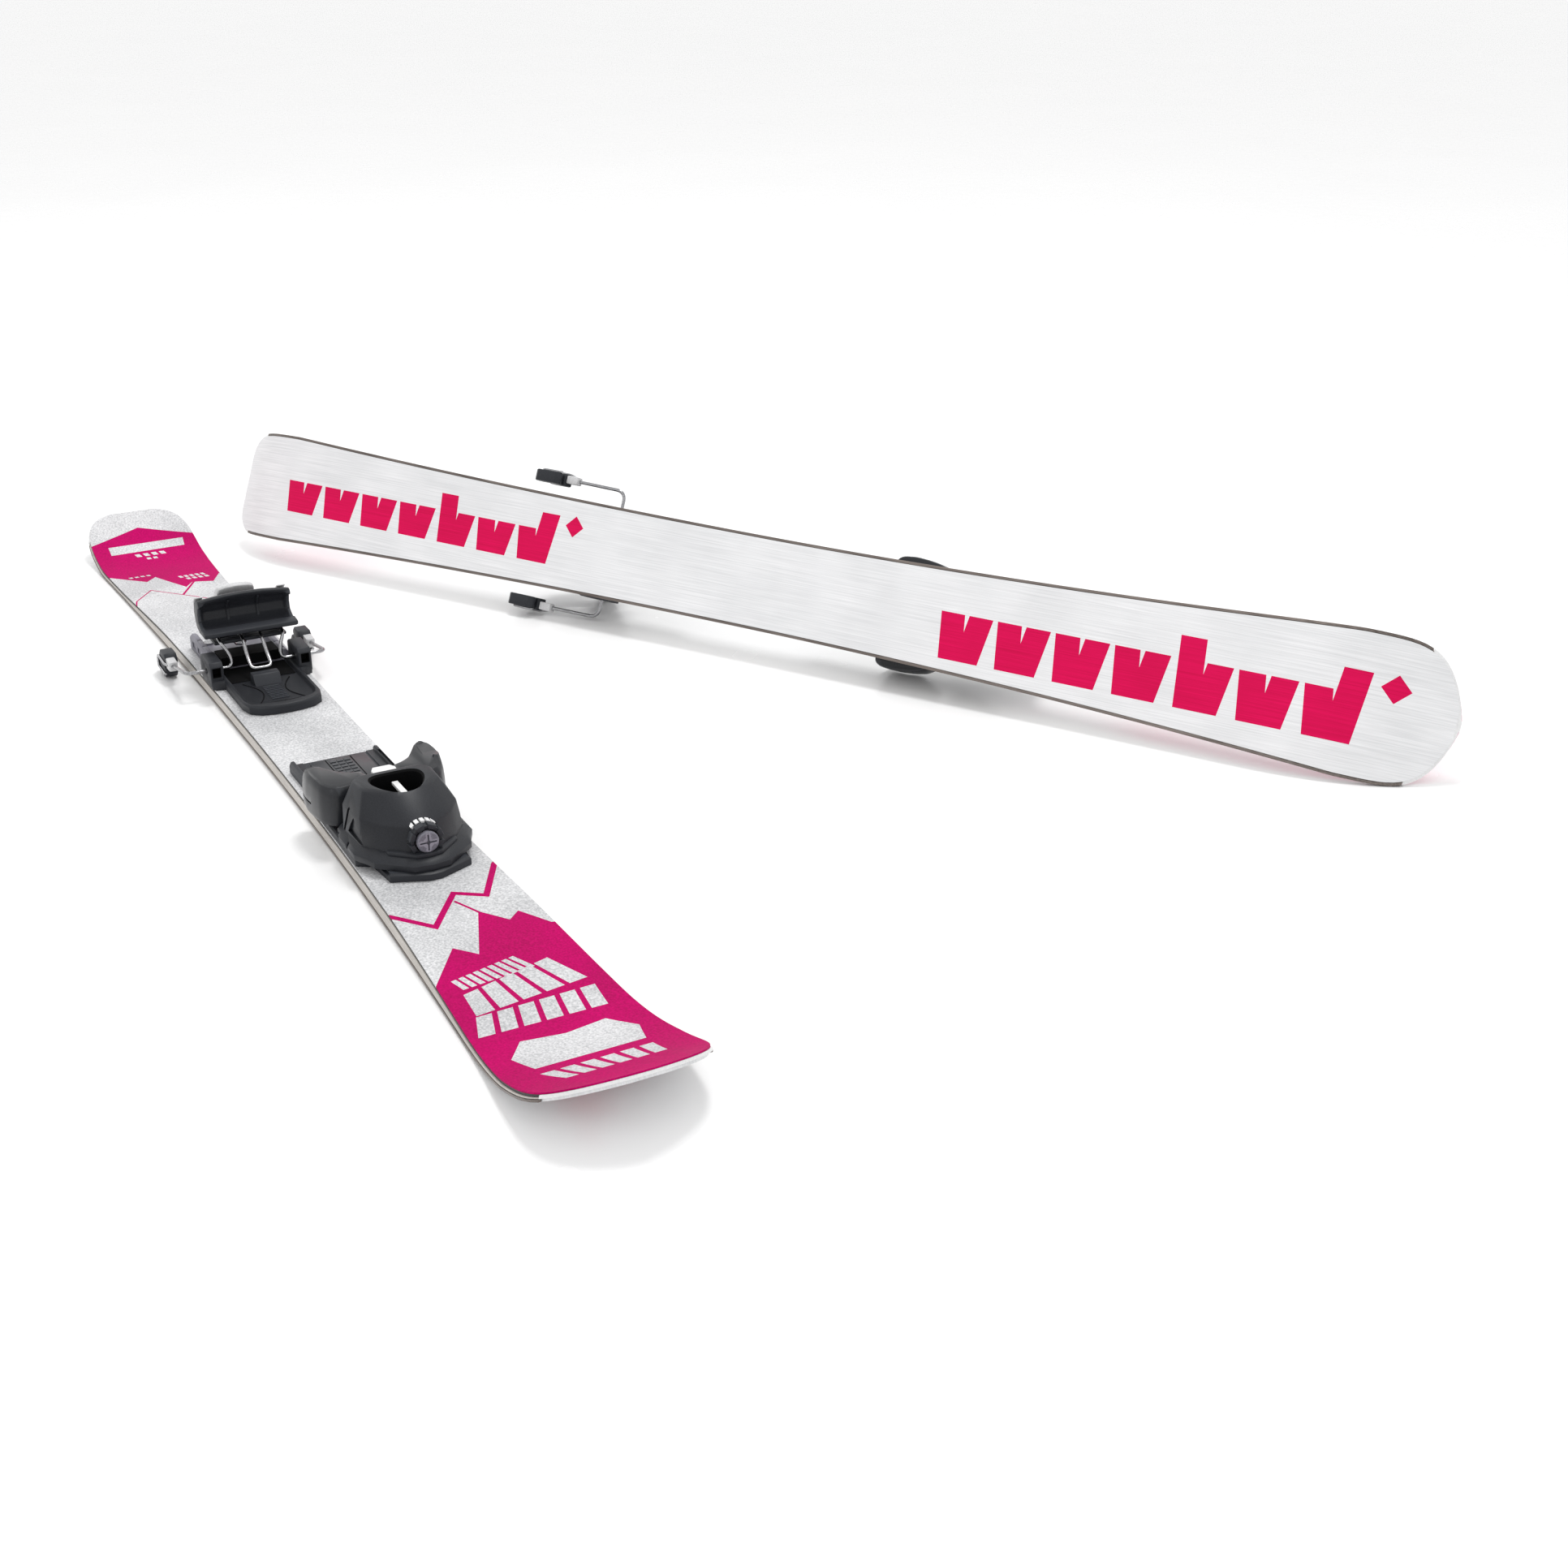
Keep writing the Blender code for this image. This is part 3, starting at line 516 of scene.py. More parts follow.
def printed(outline, fields, height, upward):
    """A sheet over the outline with crisp fields of colour: fields are (outline, look)."""
    points, edges = [], []

    def ring(corners, closed=True):
        first = len(points)
        points.extend(Vector(corner) for corner in corners)
        count = len(corners)
        for index in range(count if closed else count - 1):
            edges.append((first + index, first + (index + 1) % count))

    ring(outline)
    for corners, number in fields:
        ring(corners)
    for s in stations(0.004, LENGTH - 0.004, 96):
        ring([(s, -PAST_EDGE), (s, PAST_EDGE)], False)
    flat = delaunay_2d_cdt(points, edges, [], 0, 1e-7)
    made = bmesh.new()
    verts = [None] * len(flat[0])
    for corners in flat[2]:
        middle = sum((flat[0][corner] for corner in corners), Vector((0, 0))) / 3
        if not inside(middle, outline):
            continue
        number = 0
        for field, colour in fields:
            if inside(middle, field):
                number = colour
        for corner in corners:
            if verts[corner] is None:
                s, y = flat[0][corner]
                verts[corner] = made.verts.new((at(s), y, height(s)))
        order = corners if upward else reversed(corners)
        made.faces.new([verts[corner] for corner in order]).material_index = number
    made.normal_update()
    return made


def stroke(points, width):
    """A line of the given width as an outline, with mitred corners."""
    places = [Vector(point) for point in points]
    left, right = [], []
    for index, place in enumerate(places):
        before = places[index] - places[index - 1] if index else places[1] - places[0]
        after = places[index + 1] - place if index + 1 < len(places) else before
        before, after = before.normalized(), after.normalized()
        normal = Vector((-before.y - after.y, before.x + after.x)).normalized()
        reach = width / 2 / max(normal.dot(Vector((-after.y, after.x))), 0.35)
        left.append(tuple(place + normal * reach))
        right.append(tuple(place - normal * reach))
    return left + right[::-1]


def blocks(corners, shares, slant):
    """Slanted blocks in a four-cornered band: shares are (start, end) along its length."""
    near_start, near_end, far_end, far_start = [Vector(corner) for corner in corners]
    made = []
    for start, end in shares:
        outline = []
        for along, across in ((start, 0), (end, 0), (end + slant, 1), (start + slant, 1)):
            near = near_start.lerp(near_end, along)
            far = far_start.lerp(far_end, along)
            outline.append(tuple(near.lerp(far, across)))
        made.append(outline)
    return made


def even(count, filled):
    """Equal shares of a band, each filled to that part of its length."""
    return [((index + (1 - filled) / 2) / count, (index + (1 + filled) / 2) / count)
            for index in range(count)]


def deck_fields():
    pink, white = 1, 0
    far = 0.06
    fields = [
        ([(0.8965, 0.0073), (0.9447, -0.0108), (0.9311, -0.0225), (0.9688, -0.0473),
          (0.972, -far), (1.17, -far), (1.17, far), (0.933, far), (0.929, 0.0427),
          (0.9062, 0.0299), (0.9151, 0.0205)], pink),
        (stroke([(0.879, -0.056), (0.8728, -0.0459), (0.9024, -0.0225), (0.8657, 0.0027),
                 (0.878, 0.02), (0.8387, 0.0408), (0.831, 0.048)], 0.0042), pink),
        (stroke([(0.8762, -0.0008), (0.8975, 0.0079), (0.9151, 0.0205)], 0.0018), pink),
        ([(0.0357, -far), (0.0357, -0.0468), (0.0195, 0.0), (0.0362, 0.0466), (0.0362, far),
          (0.1391, far), (0.1391, 0.0448), (0.1609, 0.0341), (0.156, 0.023),
          (0.1536, 0.0166), (0.1666, 0.0081), (0.1222, -0.0095), (0.1333, -0.0195),
          (0.1034, -0.0484), (0.1034, -far)], pink),
        (stroke([(0.214, -0.052), (0.2058, -0.0452), (0.1882, -0.0411), (0.1603, -0.0222),
                 (0.1988, 0.0067), (0.233, 0.03), (0.26, 0.052)], 0.0013), pink),
        (stroke([(0.189, -0.0002), (0.1536, 0.018)], 0.0022), pink),
        ([(1.064, -0.0385), (1.0455, -0.026), (1.05, 0.0), (1.0455, 0.026),
          (1.064, 0.0385), (1.085, 0.033), (1.085, -0.033)], white),
        ([(0.0414, -0.0334), (0.0409, 0.0365), (0.0533, 0.0348), (0.0547, -0.0337)], white),
    ]
    bands = [
        ([(0.9666, -0.0377), (0.9556, 0.007), (0.9722, 0.013), (0.9785, -0.0359)], 9, 0.66, 0.03),
        ([(0.9837, -0.0369), (0.9662, 0.0251), (0.9978, 0.0347), (1.0086, -0.0418)], 5, 0.78, 0.04),
        ([(1.009, -0.0395), (1.0065, 0.0385), (1.0304, 0.0405), (1.0302, -0.0422)], 6, 0.74, -0.05),
        ([(1.095, -0.036), (1.095, 0.034), (1.115, 0.03), (1.115, -0.032)], 6, 0.70, 0.05),
    ]
    rows = ((0.0585, 0.064, -0.015, 0.015, 4), (0.0675, 0.0715, -0.006, 0.006, 2),
            (0.113, 0.1165, -0.033, -0.012, 4), (0.13, 0.136, 0.008, 0.033, 5),
            (0.1385, 0.144, 0.013, 0.035, 4))
    for start, end, low, high, count in rows:
        bands.append(([(start, low), (start, high), (end, high), (end, low)], count, 0.62, 0.05))
    for band, count, filled, slant in bands:
        for outline in blocks(band, even(count, filled), slant):
            fields.append((outline, white))
    return fields


def base_fields():
    """Two rows of slanted bars, each ended by a diamond: bars lean by turns either way."""
    pink, tall_bars, lean = 1, (8, 13), 0.016
    fields = []
    for start, end, low, high, top in ((0.0765, 0.39, -0.0085, 0.0205, -0.0235),
                                       (0.76, 1.1, -0.007, 0.03, -0.024)):
        for index, share in enumerate(even(14, 0.84)):
            reach = top if index in tall_bars else low
            band = [(start, reach), (end, reach), (end, high), (start, high)]
            fields.append((blocks(band, [share], -lean if index % 2 else lean)[0], pink))
        s, y = end + 0.015, (top + low) / 2
        size = (low - top) * 0.62
        fields.append(([(s - size, y), (s, y - size), (s + size, y), (s, y + size)], pink))
    return fields


def inset(by, least=0.0):
    """Half the ski's width less a margin, as a function of the distance from the tail."""
    return lambda s: max(half_width(s) - by, least)


def outline_of(start, end, half):
    side = [(s, half(s)) for s in stations(start, end)]
    return side + [(s, -y) for s, y in reversed(side)]


def strip(start, end, low, high, inner, outer_low, outer_high):
    """A narrow layer along the ski's +y side, between heights and widths given as functions."""
    rings = []
    for s in stations(start, end):
        bottom, top = low(s), high(s)
        rings.append(((s, inner(s), bottom), (s, outer_low(s), bottom),
                      (s, outer_high(s), top), (s, inner(s), top)))
    return loft(rings)


def build_board():
    """The printed deck and base, steel edges, sidewalls and the fillers at both ends."""
    start, end = SPACER_LENGTH, LENGTH - SPACER_LENGTH
    sheet = outline_of(0.0008, LENGTH - 0.0008, inset(0.0016, 0.001))
    piece("deck_print", finished([printed(sheet, deck_fields(), deck_height, True)],
                                 [DECK_WHITE, DECK_PINK], thick=SHEET_THICKNESS, angle=40.0),
          replaced="topsheet")
    base = outline_of(0.0025, LENGTH - 0.0025, inset(EDGE_WIDTH + GAP, 0.0012))
    piece("base_print", finished([printed(base, base_fields(), base_height, False)],
                                 [BASE_WHITE, BASE_PINK], thick=EDGE_HEIGHT, angle=40.0),
          replaced="base_sheet")

    edge = strip(start, end, base_height, lambda s: base_height(s) + EDGE_HEIGHT,
                 inset(EDGE_WIDTH), half_width, half_width)
    wall = strip(start, end, core_low, seam_low, inset(SIDEWALL_WIDTH), inset(0.0004),
                 inset(0.0012))
    seam = strip(start, end, seam_low, core_high, inset(SIDEWALL_WIDTH), inset(0.0019),
                 inset(0.002))
    walls = joined([wall, look(seam, 1)])
    for side, steel, wall in (("right", edge.copy(), walls.copy()),
                              ("left", mirrored(edge), mirrored(walls))):
        piece("steel_" + side, finished([steel], [EDGE_STEEL], bevel=0.00025, segments=1),
              replaced="edge_" + side)
        piece("wall_" + side, finished([wall], [CREAM, SEAM]), replaced="sidewall_" + side)
    for name, low, high in (("tail", 0.0, start - GAP), ("tip", end + GAP, LENGTH)):
        rings = []
        for s in stations(low, high):
            half = half_width(s)
            rings.append([(s, -half, core_low(s)), (s, half, core_low(s)),
                          (s, half * 0.988, core_high(s)), (s, -half * 0.988, core_high(s))])
        piece(name + "_filler", finished([loft(rings)], [WHITE], bevel=0.0003),
              replaced=name + "_spacer")


# The toe piece: the height of its screw's line and of its plate, and the wings' pivot as (s, y)

TOE_Z = 0.033
PLATE_TOP = 0.0165
WING_PIVOT = (0.742, 0.03)


def around(side):
    """A closed outline from the +y half, given from the rear to the front."""
    return [*side, *[(s, -y) for s, y in reversed(side) if y]]


def two_sided(half):
    """Steps of (y, share) across the ski, from those of its +y half listed inwards to y = 0."""
    return [(-y, share) for y, share in half] + [(y, share) for y, share in reversed(half) if y]


def build_toe_plate():
    skirt = around([(0.716, 0.038), (0.8, 0.0395), (0.806, 0.03), (0.833, 0.0275),
                    (0.843, 0.004)])
    inner = around([(0.716, 0.0365), (0.799, 0.038), (0.8045, 0.0285), (0.831, 0.0262),
                    (0.8405, 0.0035)])
    front = loft([level(skirt, DECK), level(skirt, 0.0155), level(inner, PLATE_TOP)])
    rear = block((0.632, 0.73), (-0.033, 0.033), (DECK, 0.016))
    rail = [(0.023, 0.0155), (0.0236, 0.0166), (0.0286, 0.0166), (0.029, 0.0186),
            (0.03, 0.0195), (0.032, 0.019), (0.0332, 0.0164), (0.0332, DECK)]
    rails = both(prism(rail, "X", (0.632, 0.718)))
    cuts = [block((0.64, 0.685), (0.0296, 0.0316), (0.0172, 0.023))]
    posts, screws = [], []
    for side in (-1, 1):
        cuts.append(block((0.813, 0.83), (side * 0.031, side * 0.0262), (0.015, 0.02)))
        posts.append(upright(0.0029, (WING_PIVOT[0], side * WING_PIVOT[1]), (0.0155, 0.045)))
        screws.append(look(upright(0.0045, (0.706, side * 0.02), (0.015, 0.0172)), 1))
    mesh = finished([front, rear, *rails], [PLASTIC, STEEL], cuts=cuts, bevel=0.0007,
                    late=posts + screws)
    piece("toe_base", mesh, replaced="toe_plate")


def build_toe_pad():
    slab = block((0.6385, 0.6965), (-0.0205, 0.0205), (0.0169, 0.0186))
    ribs = [block((s, s + 0.0034), (y - 0.0021, y + 0.0021), (0.0184, 0.019))
            for s in [0.643 + 0.0056 * index for index in range(9)]
            for y in (-0.0052, 0.0, 0.0052)]
    # Painted shade: the two grooves are black.
    grooves = [look(block((0.64, 0.695), (y - 0.0004, y + 0.0004), (0.0178, 0.0187)), 1)
               for y in (-0.0092, 0.0092)]
    mesh = finished([slab], [GLOSSY, PAINTED_SHADE], bevel=0.0005, late=ribs + grooves)
    piece("boot_slider", mesh, "_afd_slider", "afd_pad")


def build_toe_housing():
    """The shell with its window and screw bore, its collar, its scale marks and a white pad."""
    # The shell's height and its +y half outline, level by level
    halves = (
        (0.02, ((0.7585, 0.0), (0.7585, 0.0302), (0.7685, 0.0368), (0.8, 0.0353),
                (0.8155, 0.0256), (0.8272, 0.011), (0.8288, 0.0))),
        (0.026, ((0.7585, 0.0), (0.7585, 0.03), (0.7685, 0.0365), (0.7998, 0.035),
                 (0.8145, 0.0254), (0.8265, 0.011), (0.828, 0.0))),
        (0.0415, ((0.757, 0.0), (0.757, 0.0296), (0.767, 0.0354), (0.796, 0.033),
                  (0.81, 0.0235), (0.8215, 0.0095), (0.823, 0.0))),
        (0.0545, ((0.758, 0.0), (0.758, 0.0228), (0.7655, 0.0276), (0.7835, 0.0262),
                  (0.7945, 0.0175), (0.8015, 0.0078), (0.8022, 0.0))),
        (0.0562, ((0.7605, 0.0), (0.7605, 0.0202), (0.7672, 0.0248), (0.782, 0.0236),
                  (0.792, 0.0155), (0.7975, 0.0066), (0.798, 0.0))))
    rounded = finished([loft([level(around(half), z) for z, half in halves])], bevel=0.0014,
                       segments=3)
    window = [(0.7652, 0.0), (0.7655, 0.012), (0.7695, 0.0172), (0.778, 0.0178),
              (0.7885, 0.014), (0.797, 0.0078), (0.799, 0.0)]
    soft = softened(around(window), 0.004)
    middle = 0.78

    def grown(share, z):
        return [(middle + (s - middle) * share, y * share, z) for s, y in soft]

    well = loft([grown(0.97, 0.038), grown(0.98, 0.0548), grown(1.07, 0.0566),
                 grown(1.12, 0.06)])
    bore = turned(((0.0074, 0.7625), (0.0074, 0.808)), TOE_Z)
    hole = turned(((0.008, 0.805), (0.008, 0.84)), TOE_Z)
    panels = []
    for side in (1, -1):
        panels.append(prism([(0.778, 0.027), (0.809, 0.0255), (0.786, 0.039)], "Y",
                            (side * 0.0338, side * 0.04)))
        panels.append(prism([(0.769, 0.0235), (0.772, 0.0235), (0.78, 0.045),
                             (0.7775, 0.045)], "Y", (side * 0.0335, side * 0.04)))
    # Painted shade: the window's well and the screw's bores are black inside.
    mesh = finished([rounded], [PLASTIC, PAINTED_SHADE], cuts=[look(well, 1), look(bore, 1),
                                                       look(hole, 1), *panels])
    boss = turned(((0.0078, 0.804), (0.0112, 0.804), (0.0106, 0.825), (0.0096, 0.8262),
                   (0.0079, 0.8262)), TOE_Z)
    piece("toe_shell", with_more(mesh, [boss, *skirt_shapes()]), replaced="toe_housing")
    collar = [sector(math.tau * (index + 0.5) / 8, 0.26, 0.0084, 0.0118, (0.8235, 0.83))
              for index in range(8)]
    collar.append(ring_around(0.0081, 0.0104, 0.8225, 0.829))
    piece("toe_collar", finished(collar, bevel=0.0004))
    marks = [sector(math.radians(52 + 19 * index), 0.11, 0.01, 0.0122, (0.819, 0.824))
             for index in range(5)]
    piece("toe_scale", finished(marks, [WHITE], bevel=0.0002, segments=1))
    # A white pad on the housing's rear top.
    pad = [(0.743, -0.006), (0.743, 0.006), (0.748, 0.0084), (0.76, 0.0074),
           (0.76, -0.0074), (0.748, -0.0084)]
    piece("toe_white_pad", finished([prism(pad, "Z", (0.049, 0.0522))], [WHITE], bevel=0.0006))


def sector(turn, half, inner, outer, span):
    """A block of a ring about the toe screw's line, reaching half each way from the angle turn."""
    corners = ((outer, turn - half), (outer, turn + half), (inner, turn + half),
               (inner, turn - half))
    return prism([(radius * math.cos(angle), TOE_Z + radius * math.sin(angle))
                  for radius, angle in corners], "X", span)


def ring_around(inner, outer, start, end):
    """A short round sleeve along the ski, about the toe screw's line."""
    rings = []
    for turn in range(ROUND_SIDES):
        angle = turn * math.tau / ROUND_SIDES
        rings.append([(s, radius * math.cos(angle), TOE_Z + radius * math.sin(angle))
                      for radius, s in ((inner, start), (outer, start), (outer, end),
                                        (inner, end))])
    return loft(rings, True)


def skirt_shapes():
    """The faceted two-step skirt round the foot of the toe housing."""
    outer = around([(0.748, 0.03), (0.758, 0.0375), (0.77, 0.0405), (0.802, 0.0403),
                    (0.813, 0.035), (0.82, 0.033), (0.838, 0.012), (0.84, 0.0)])
    top = around([(0.75, 0.029), (0.759, 0.0362), (0.7705, 0.039), (0.8005, 0.0388),
                  (0.811, 0.0335), (0.818, 0.0312), (0.835, 0.0108), (0.8368, 0.0)])
    inner = around([(0.75, 0.025), (0.761, 0.033), (0.772, 0.035), (0.798, 0.0345),
                    (0.806, 0.03), (0.813, 0.027), (0.827, 0.009), (0.8285, 0.0)])
    ring = loft([level(outer, PLATE_TOP + GAP), level(outer, 0.0205), level(top, 0.0226),
                 level(inner, 0.0255)])
    notches = [block((s, s + 0.003), (side * 0.0385, side * 0.042), (0.0185, 0.024))
               for s in (0.764, 0.785) for side in (-1, 1)]
    ledge = around([(0.808, 0.0), (0.808, 0.024), (0.82, 0.0235), (0.833, 0.009),
                    (0.8345, 0.0)])
    lip = prism(ledge, "Z", (0.0235, 0.0262))
    return [finished([ring], cuts=notches, bevel=0.0005), finished([lip], bevel=0.0006)]


def cross_slot(span, reach, centre_z):
    """Cutters for the cross in the head of a screw along the ski."""
    half = 0.00055
    return [block(span, (-half_y, half_y), (centre_z - half_z, centre_z + half_z))
            for half_y, half_z in ((reach, half), (half, reach))]


def build_toe_screw():
    head = turned(((0.0032, 0.77), (0.0032, 0.827), (0.0072, 0.8275), (0.0074, 0.8315),
                   (0.0066, 0.8325), (0.004, 0.8325)), TOE_Z)
    cuts = cross_slot((0.8308, 0.835), 0.0056, TOE_Z)
    cuts.append(turned(((0.0016, 0.8302), (0.0024, 0.835)), TOE_Z, 4))
    piece("toe_setting_screw", finished([head], [VIOLET, STEEL], cuts=cuts, bevel=0.0003),
          "_toe_screw", "toe_din_screw")
    bar = block((0.771, 0.7925), (-0.0021, 0.0021), (0.0497, 0.052))
    stem = block((0.7872, 0.79), (-0.0015, 0.0015), (0.038, 0.0505))
    plate = block((0.7865, 0.7925), (-0.0044, 0.0044), (0.0276, 0.0384))
    piece("toe_pointer_bar", finished([bar, stem, plate], [WHITE], bevel=0.0003),
          "_toe_pointer", "toe_indicator")


def build_toe_wings():
    """Rounded wings that hold the boot's toe; the +y one carries a flared ear."""
    outline = [(0.756, 0.03), (0.7545, 0.0385), (0.745, 0.044), (0.734, 0.0458),
               (0.72, 0.0468), (0.708, 0.0455), (0.703, 0.0415), (0.705, 0.036),
               (0.714, 0.03), (0.723, 0.0235), (0.729, 0.015), (0.7315, 0.008),
               (0.735, 0.006), (0.744, 0.0062), (0.748, 0.013), (0.7545, 0.022)]
    soft = softened(outline, 0.0036)
    middle_s, middle_y = 0.736, 0.029

    def ring(share, z, lift):
        """The outline shrunk to its middle, at a height that rises towards the ear."""
        made = []
        for s, y in soft:
            out = max(0.0, (y - 0.026) / 0.02) * max(0.0, min(1.0, (0.75 - s) / 0.02))
            made.append((middle_s + (s - middle_s) * share, middle_y + (y - middle_y) * share,
                         z + lift * out))
        return made

    for name, side in (("left", -1), ("right", 1)):
        lift = 0.006 if side > 0 else 0.0008
        levels = ((0.84, 0.0196, 0.0), (0.96, 0.0203, 0.0), (1.0, 0.023, 0.0),
                  (0.99, 0.035, lift * 0.4), (0.955, 0.041, lift * 0.8),
                  (0.90, 0.0444, lift), (0.80, 0.0464, lift), (0.66, 0.0472, lift))
        shape = loft([ring(*values) for values in levels])
        cuts = [upright(0.0033, WING_PIVOT, (0.01, 0.0455)),
                block((0.706, 0.73), (0.0448, 0.049), (0.0285, 0.03))]
        if side > 0:
            cuts.append(prism([(0.708, 0.0478), (0.724, 0.047), (0.738, 0.05),
                               (0.738, 0.056), (0.7, 0.056)], "Y", (0.034, 0.048)))
        if side < 0:
            shape = mirrored(shape)
            cuts = [mirrored(cut) for cut in cuts]
        mesh = finished([shape], [GLOSSY], cuts=cuts, bevel=0.0006, angle=44.0)
        piece("toe_wing_" + name, mesh, "_toe_wing_" + name, "wing_" + name)


# The heel piece: the height of its screw's line, and its pivots as (s, z)

HEEL_Z = 0.0275
BRAKE_PIVOT = (0.4335, 0.0235)
CUP_PIVOT = (0.38, 0.045)
LEVER_PIVOT = (0.364, 0.041)


def build_heel_track():
    half = 0.031
    flank = [(half, 0.0212), (half - 0.0022, 0.0235), (0.0262, 0.0235), (0.0246, 0.0222),
             (0.0246, 0.015)]
    profile = [(-half, DECK), (half, DECK), *flank, *[(-y, z) for y, z in reversed(flank)]]
    body = prism(profile, "X", (0.342, 0.4152))
    cuts = []
    for side in (-1, 1):
        for index in range(4):
            s = 0.35 + 0.016 * index
            cuts.append(block((s, s + 0.0085), (side * 0.0302, side * 0.033), (0.015, 0.02)))
            cuts.append(block((s + 0.01, s + 0.0112), (side * 0.024, side * 0.029),
                              (0.0225, 0.025)))
    heads = [look(upright(0.0045, (s, side * 0.018), (0.0148, 0.0166)), 1)
             for s in (0.349, 0.408) for side in (-1, 1)]
    mesh = finished([body], [VIOLET, STEEL], cuts=cuts, bevel=0.0005, late=heads)
    piece("heel_rail", mesh, replaced="heel_track")


def build_heel_carriage():
    slide = block((0.35, 0.3935), (-0.0238, 0.0238), (0.0155, 0.025))
    body = prism([(0.35, 0.0242), (0.3935, 0.0242), (0.3935, 0.0325), (0.39, 0.0358),
                  (0.354, 0.0358), (0.35, 0.0325)], "Y", (-0.0285, 0.0285))
    ear = [(0.357, 0.0345), (0.386, 0.0345), (0.3872, 0.045), (0.384, 0.0508),
           (0.376, 0.0514), (0.3625, 0.049), (0.3566, 0.044)]
    ears = both(prism(ear, "Y", (0.02, 0.0258)))
    bore = turned(((0.0072, 0.34), (0.0072, 0.386)), HEEL_Z)
    scoops = [prism([(0.36, 0.027), (0.385, 0.027), (0.383, 0.032), (0.362, 0.032)],
                    "Y", (side * 0.0272, side * 0.03)) for side in (-1, 1)]
    pins = [look(crosswise(0.003, CUP_PIVOT, (-0.0306, 0.0306)), 1),
            look(crosswise(0.0025, LEVER_PIVOT, (-0.0208, 0.0208)), 1)]
    # Painted shade: a black block over the track's floor under the heel cup.
    apron = look(block((0.3925, 0.4135), (-0.0236, 0.0236), (0.016, 0.024)), 2)
    mesh = finished([slide, body, *ears], [PLASTIC, STEEL, PAINTED_SHADE], cuts=[bore, *scoops],
                    bevel=0.0007, late=[*pins, apron])
    piece("heel_body", mesh, "_heel_slider", "heel_carriage")
    head = turned(((0.004, 0.3449), (0.006, 0.345), (0.0067, 0.346), (0.0067, 0.3532)), HEEL_Z)
    slots = cross_slot((0.343, 0.3462), 0.005, HEEL_Z)
    piece("heel_setting_screw", finished([head], [VIOLET], cuts=slots, bevel=0.0003),
          "_heel_screw", "heel_din_screw")


def build_heel_cup():
    """A channel across the boot's heel, flared at its ends, with a lip along its foot."""
    channel = [(0.4275, 0.0467), (0.4278, 0.0492), (0.421, 0.0502), (0.412, 0.052),
               (0.4068, 0.056), (0.4052, 0.062), (0.4078, 0.068), (0.414, 0.0722),
               (0.415, 0.0748), (0.4125, 0.0756), (0.405, 0.0735), (0.4005, 0.0695),
               (0.3985, 0.062), (0.3995, 0.055), (0.4035, 0.049), (0.41, 0.0467)]
    # Where the channel's points of those numbers go at its flared ends
    flare = {3: (0.415, 0.053), 4: (0.4105, 0.056), 5: (0.41, 0.062),
             6: (0.4118, 0.0676), 7: (0.4165, 0.0712)}
    # The numbers of the points along its arched upper edge
    upper_edge = (7, 8, 9, 10)
    half_span = 0.037
    rings = []
    for y, share in two_sided(((half_span, 1.0), (0.0362, 1.0), (0.034, 0.85), (0.0322, 0.25),
                               (0.03, 0.0), (0.015, 0.0), (0.0, 0.0))):
        ring = []
        for index, (s, z) in enumerate(channel):
            to_s, to_z = flare.get(index, (s, z))
            rise = 0.0014 - 0.003 * (abs(y) / half_span) ** 2 if index in upper_edge else 0.0
            ring.append((s + (to_s - s) * share, y, z + (to_z - z) * share + rise))
        rings.append(ring)
    body = loft(rings)
    lug = [(0.405, 0.05), (0.4005, 0.064), (0.377, 0.0503), (0.3742, 0.045),
           (0.3765, 0.0405), (0.381, 0.039), (0.393, 0.0425)]
    lugs = both(prism(lug, "Y", (0.0264, 0.0304)))
    rib = [(0.402, 0.0535), (0.41, 0.0525), (0.4078, 0.057), (0.4066, 0.062),
           (0.409, 0.0678), (0.414, 0.0718), (0.406, 0.0722)]
    ribs = [prism(rib, "Y", (y - 0.0009, y + 0.0009)) for y in (-0.0125, 0.0115)]
    brow = prism([(0.419, 0.0478), (0.4284, 0.0474), (0.4288, 0.0508), (0.419, 0.052)], "Y",
                 (-0.0376, 0.0376))
    holes = [crosswise(0.0034, CUP_PIVOT, (-0.04, 0.04))]
    # Painted highlights: light grey patches on the top corners of the cup's flared ends, where they
    # catch the light.
    patch = [(0.3975, 0.056), (0.399, 0.07), (0.404, 0.0738), (0.403, 0.0745),
             (0.3975, 0.0715), (0.396, 0.06)]
    patches = [look(prism(patch, "Y", span), 1) for span in ((-0.0365, -0.03), (0.03, 0.0365))]
    mesh = finished([body], [PLASTIC, GREY_AND_HIGHLIGHT], bevel=0.0009, segments=3, angle=40.0)
    extra = [finished(lugs, cuts=holes, bevel=0.0006), finished(ribs, bevel=0.0004),
             finished([brow], bevel=0.0006), finished(patches, [PLASTIC, GREY_AND_HIGHLIGHT], bevel=0.0004)]
    piece("boot_heel_cup", with_more(mesh, extra), "_cup", "heel_cup")


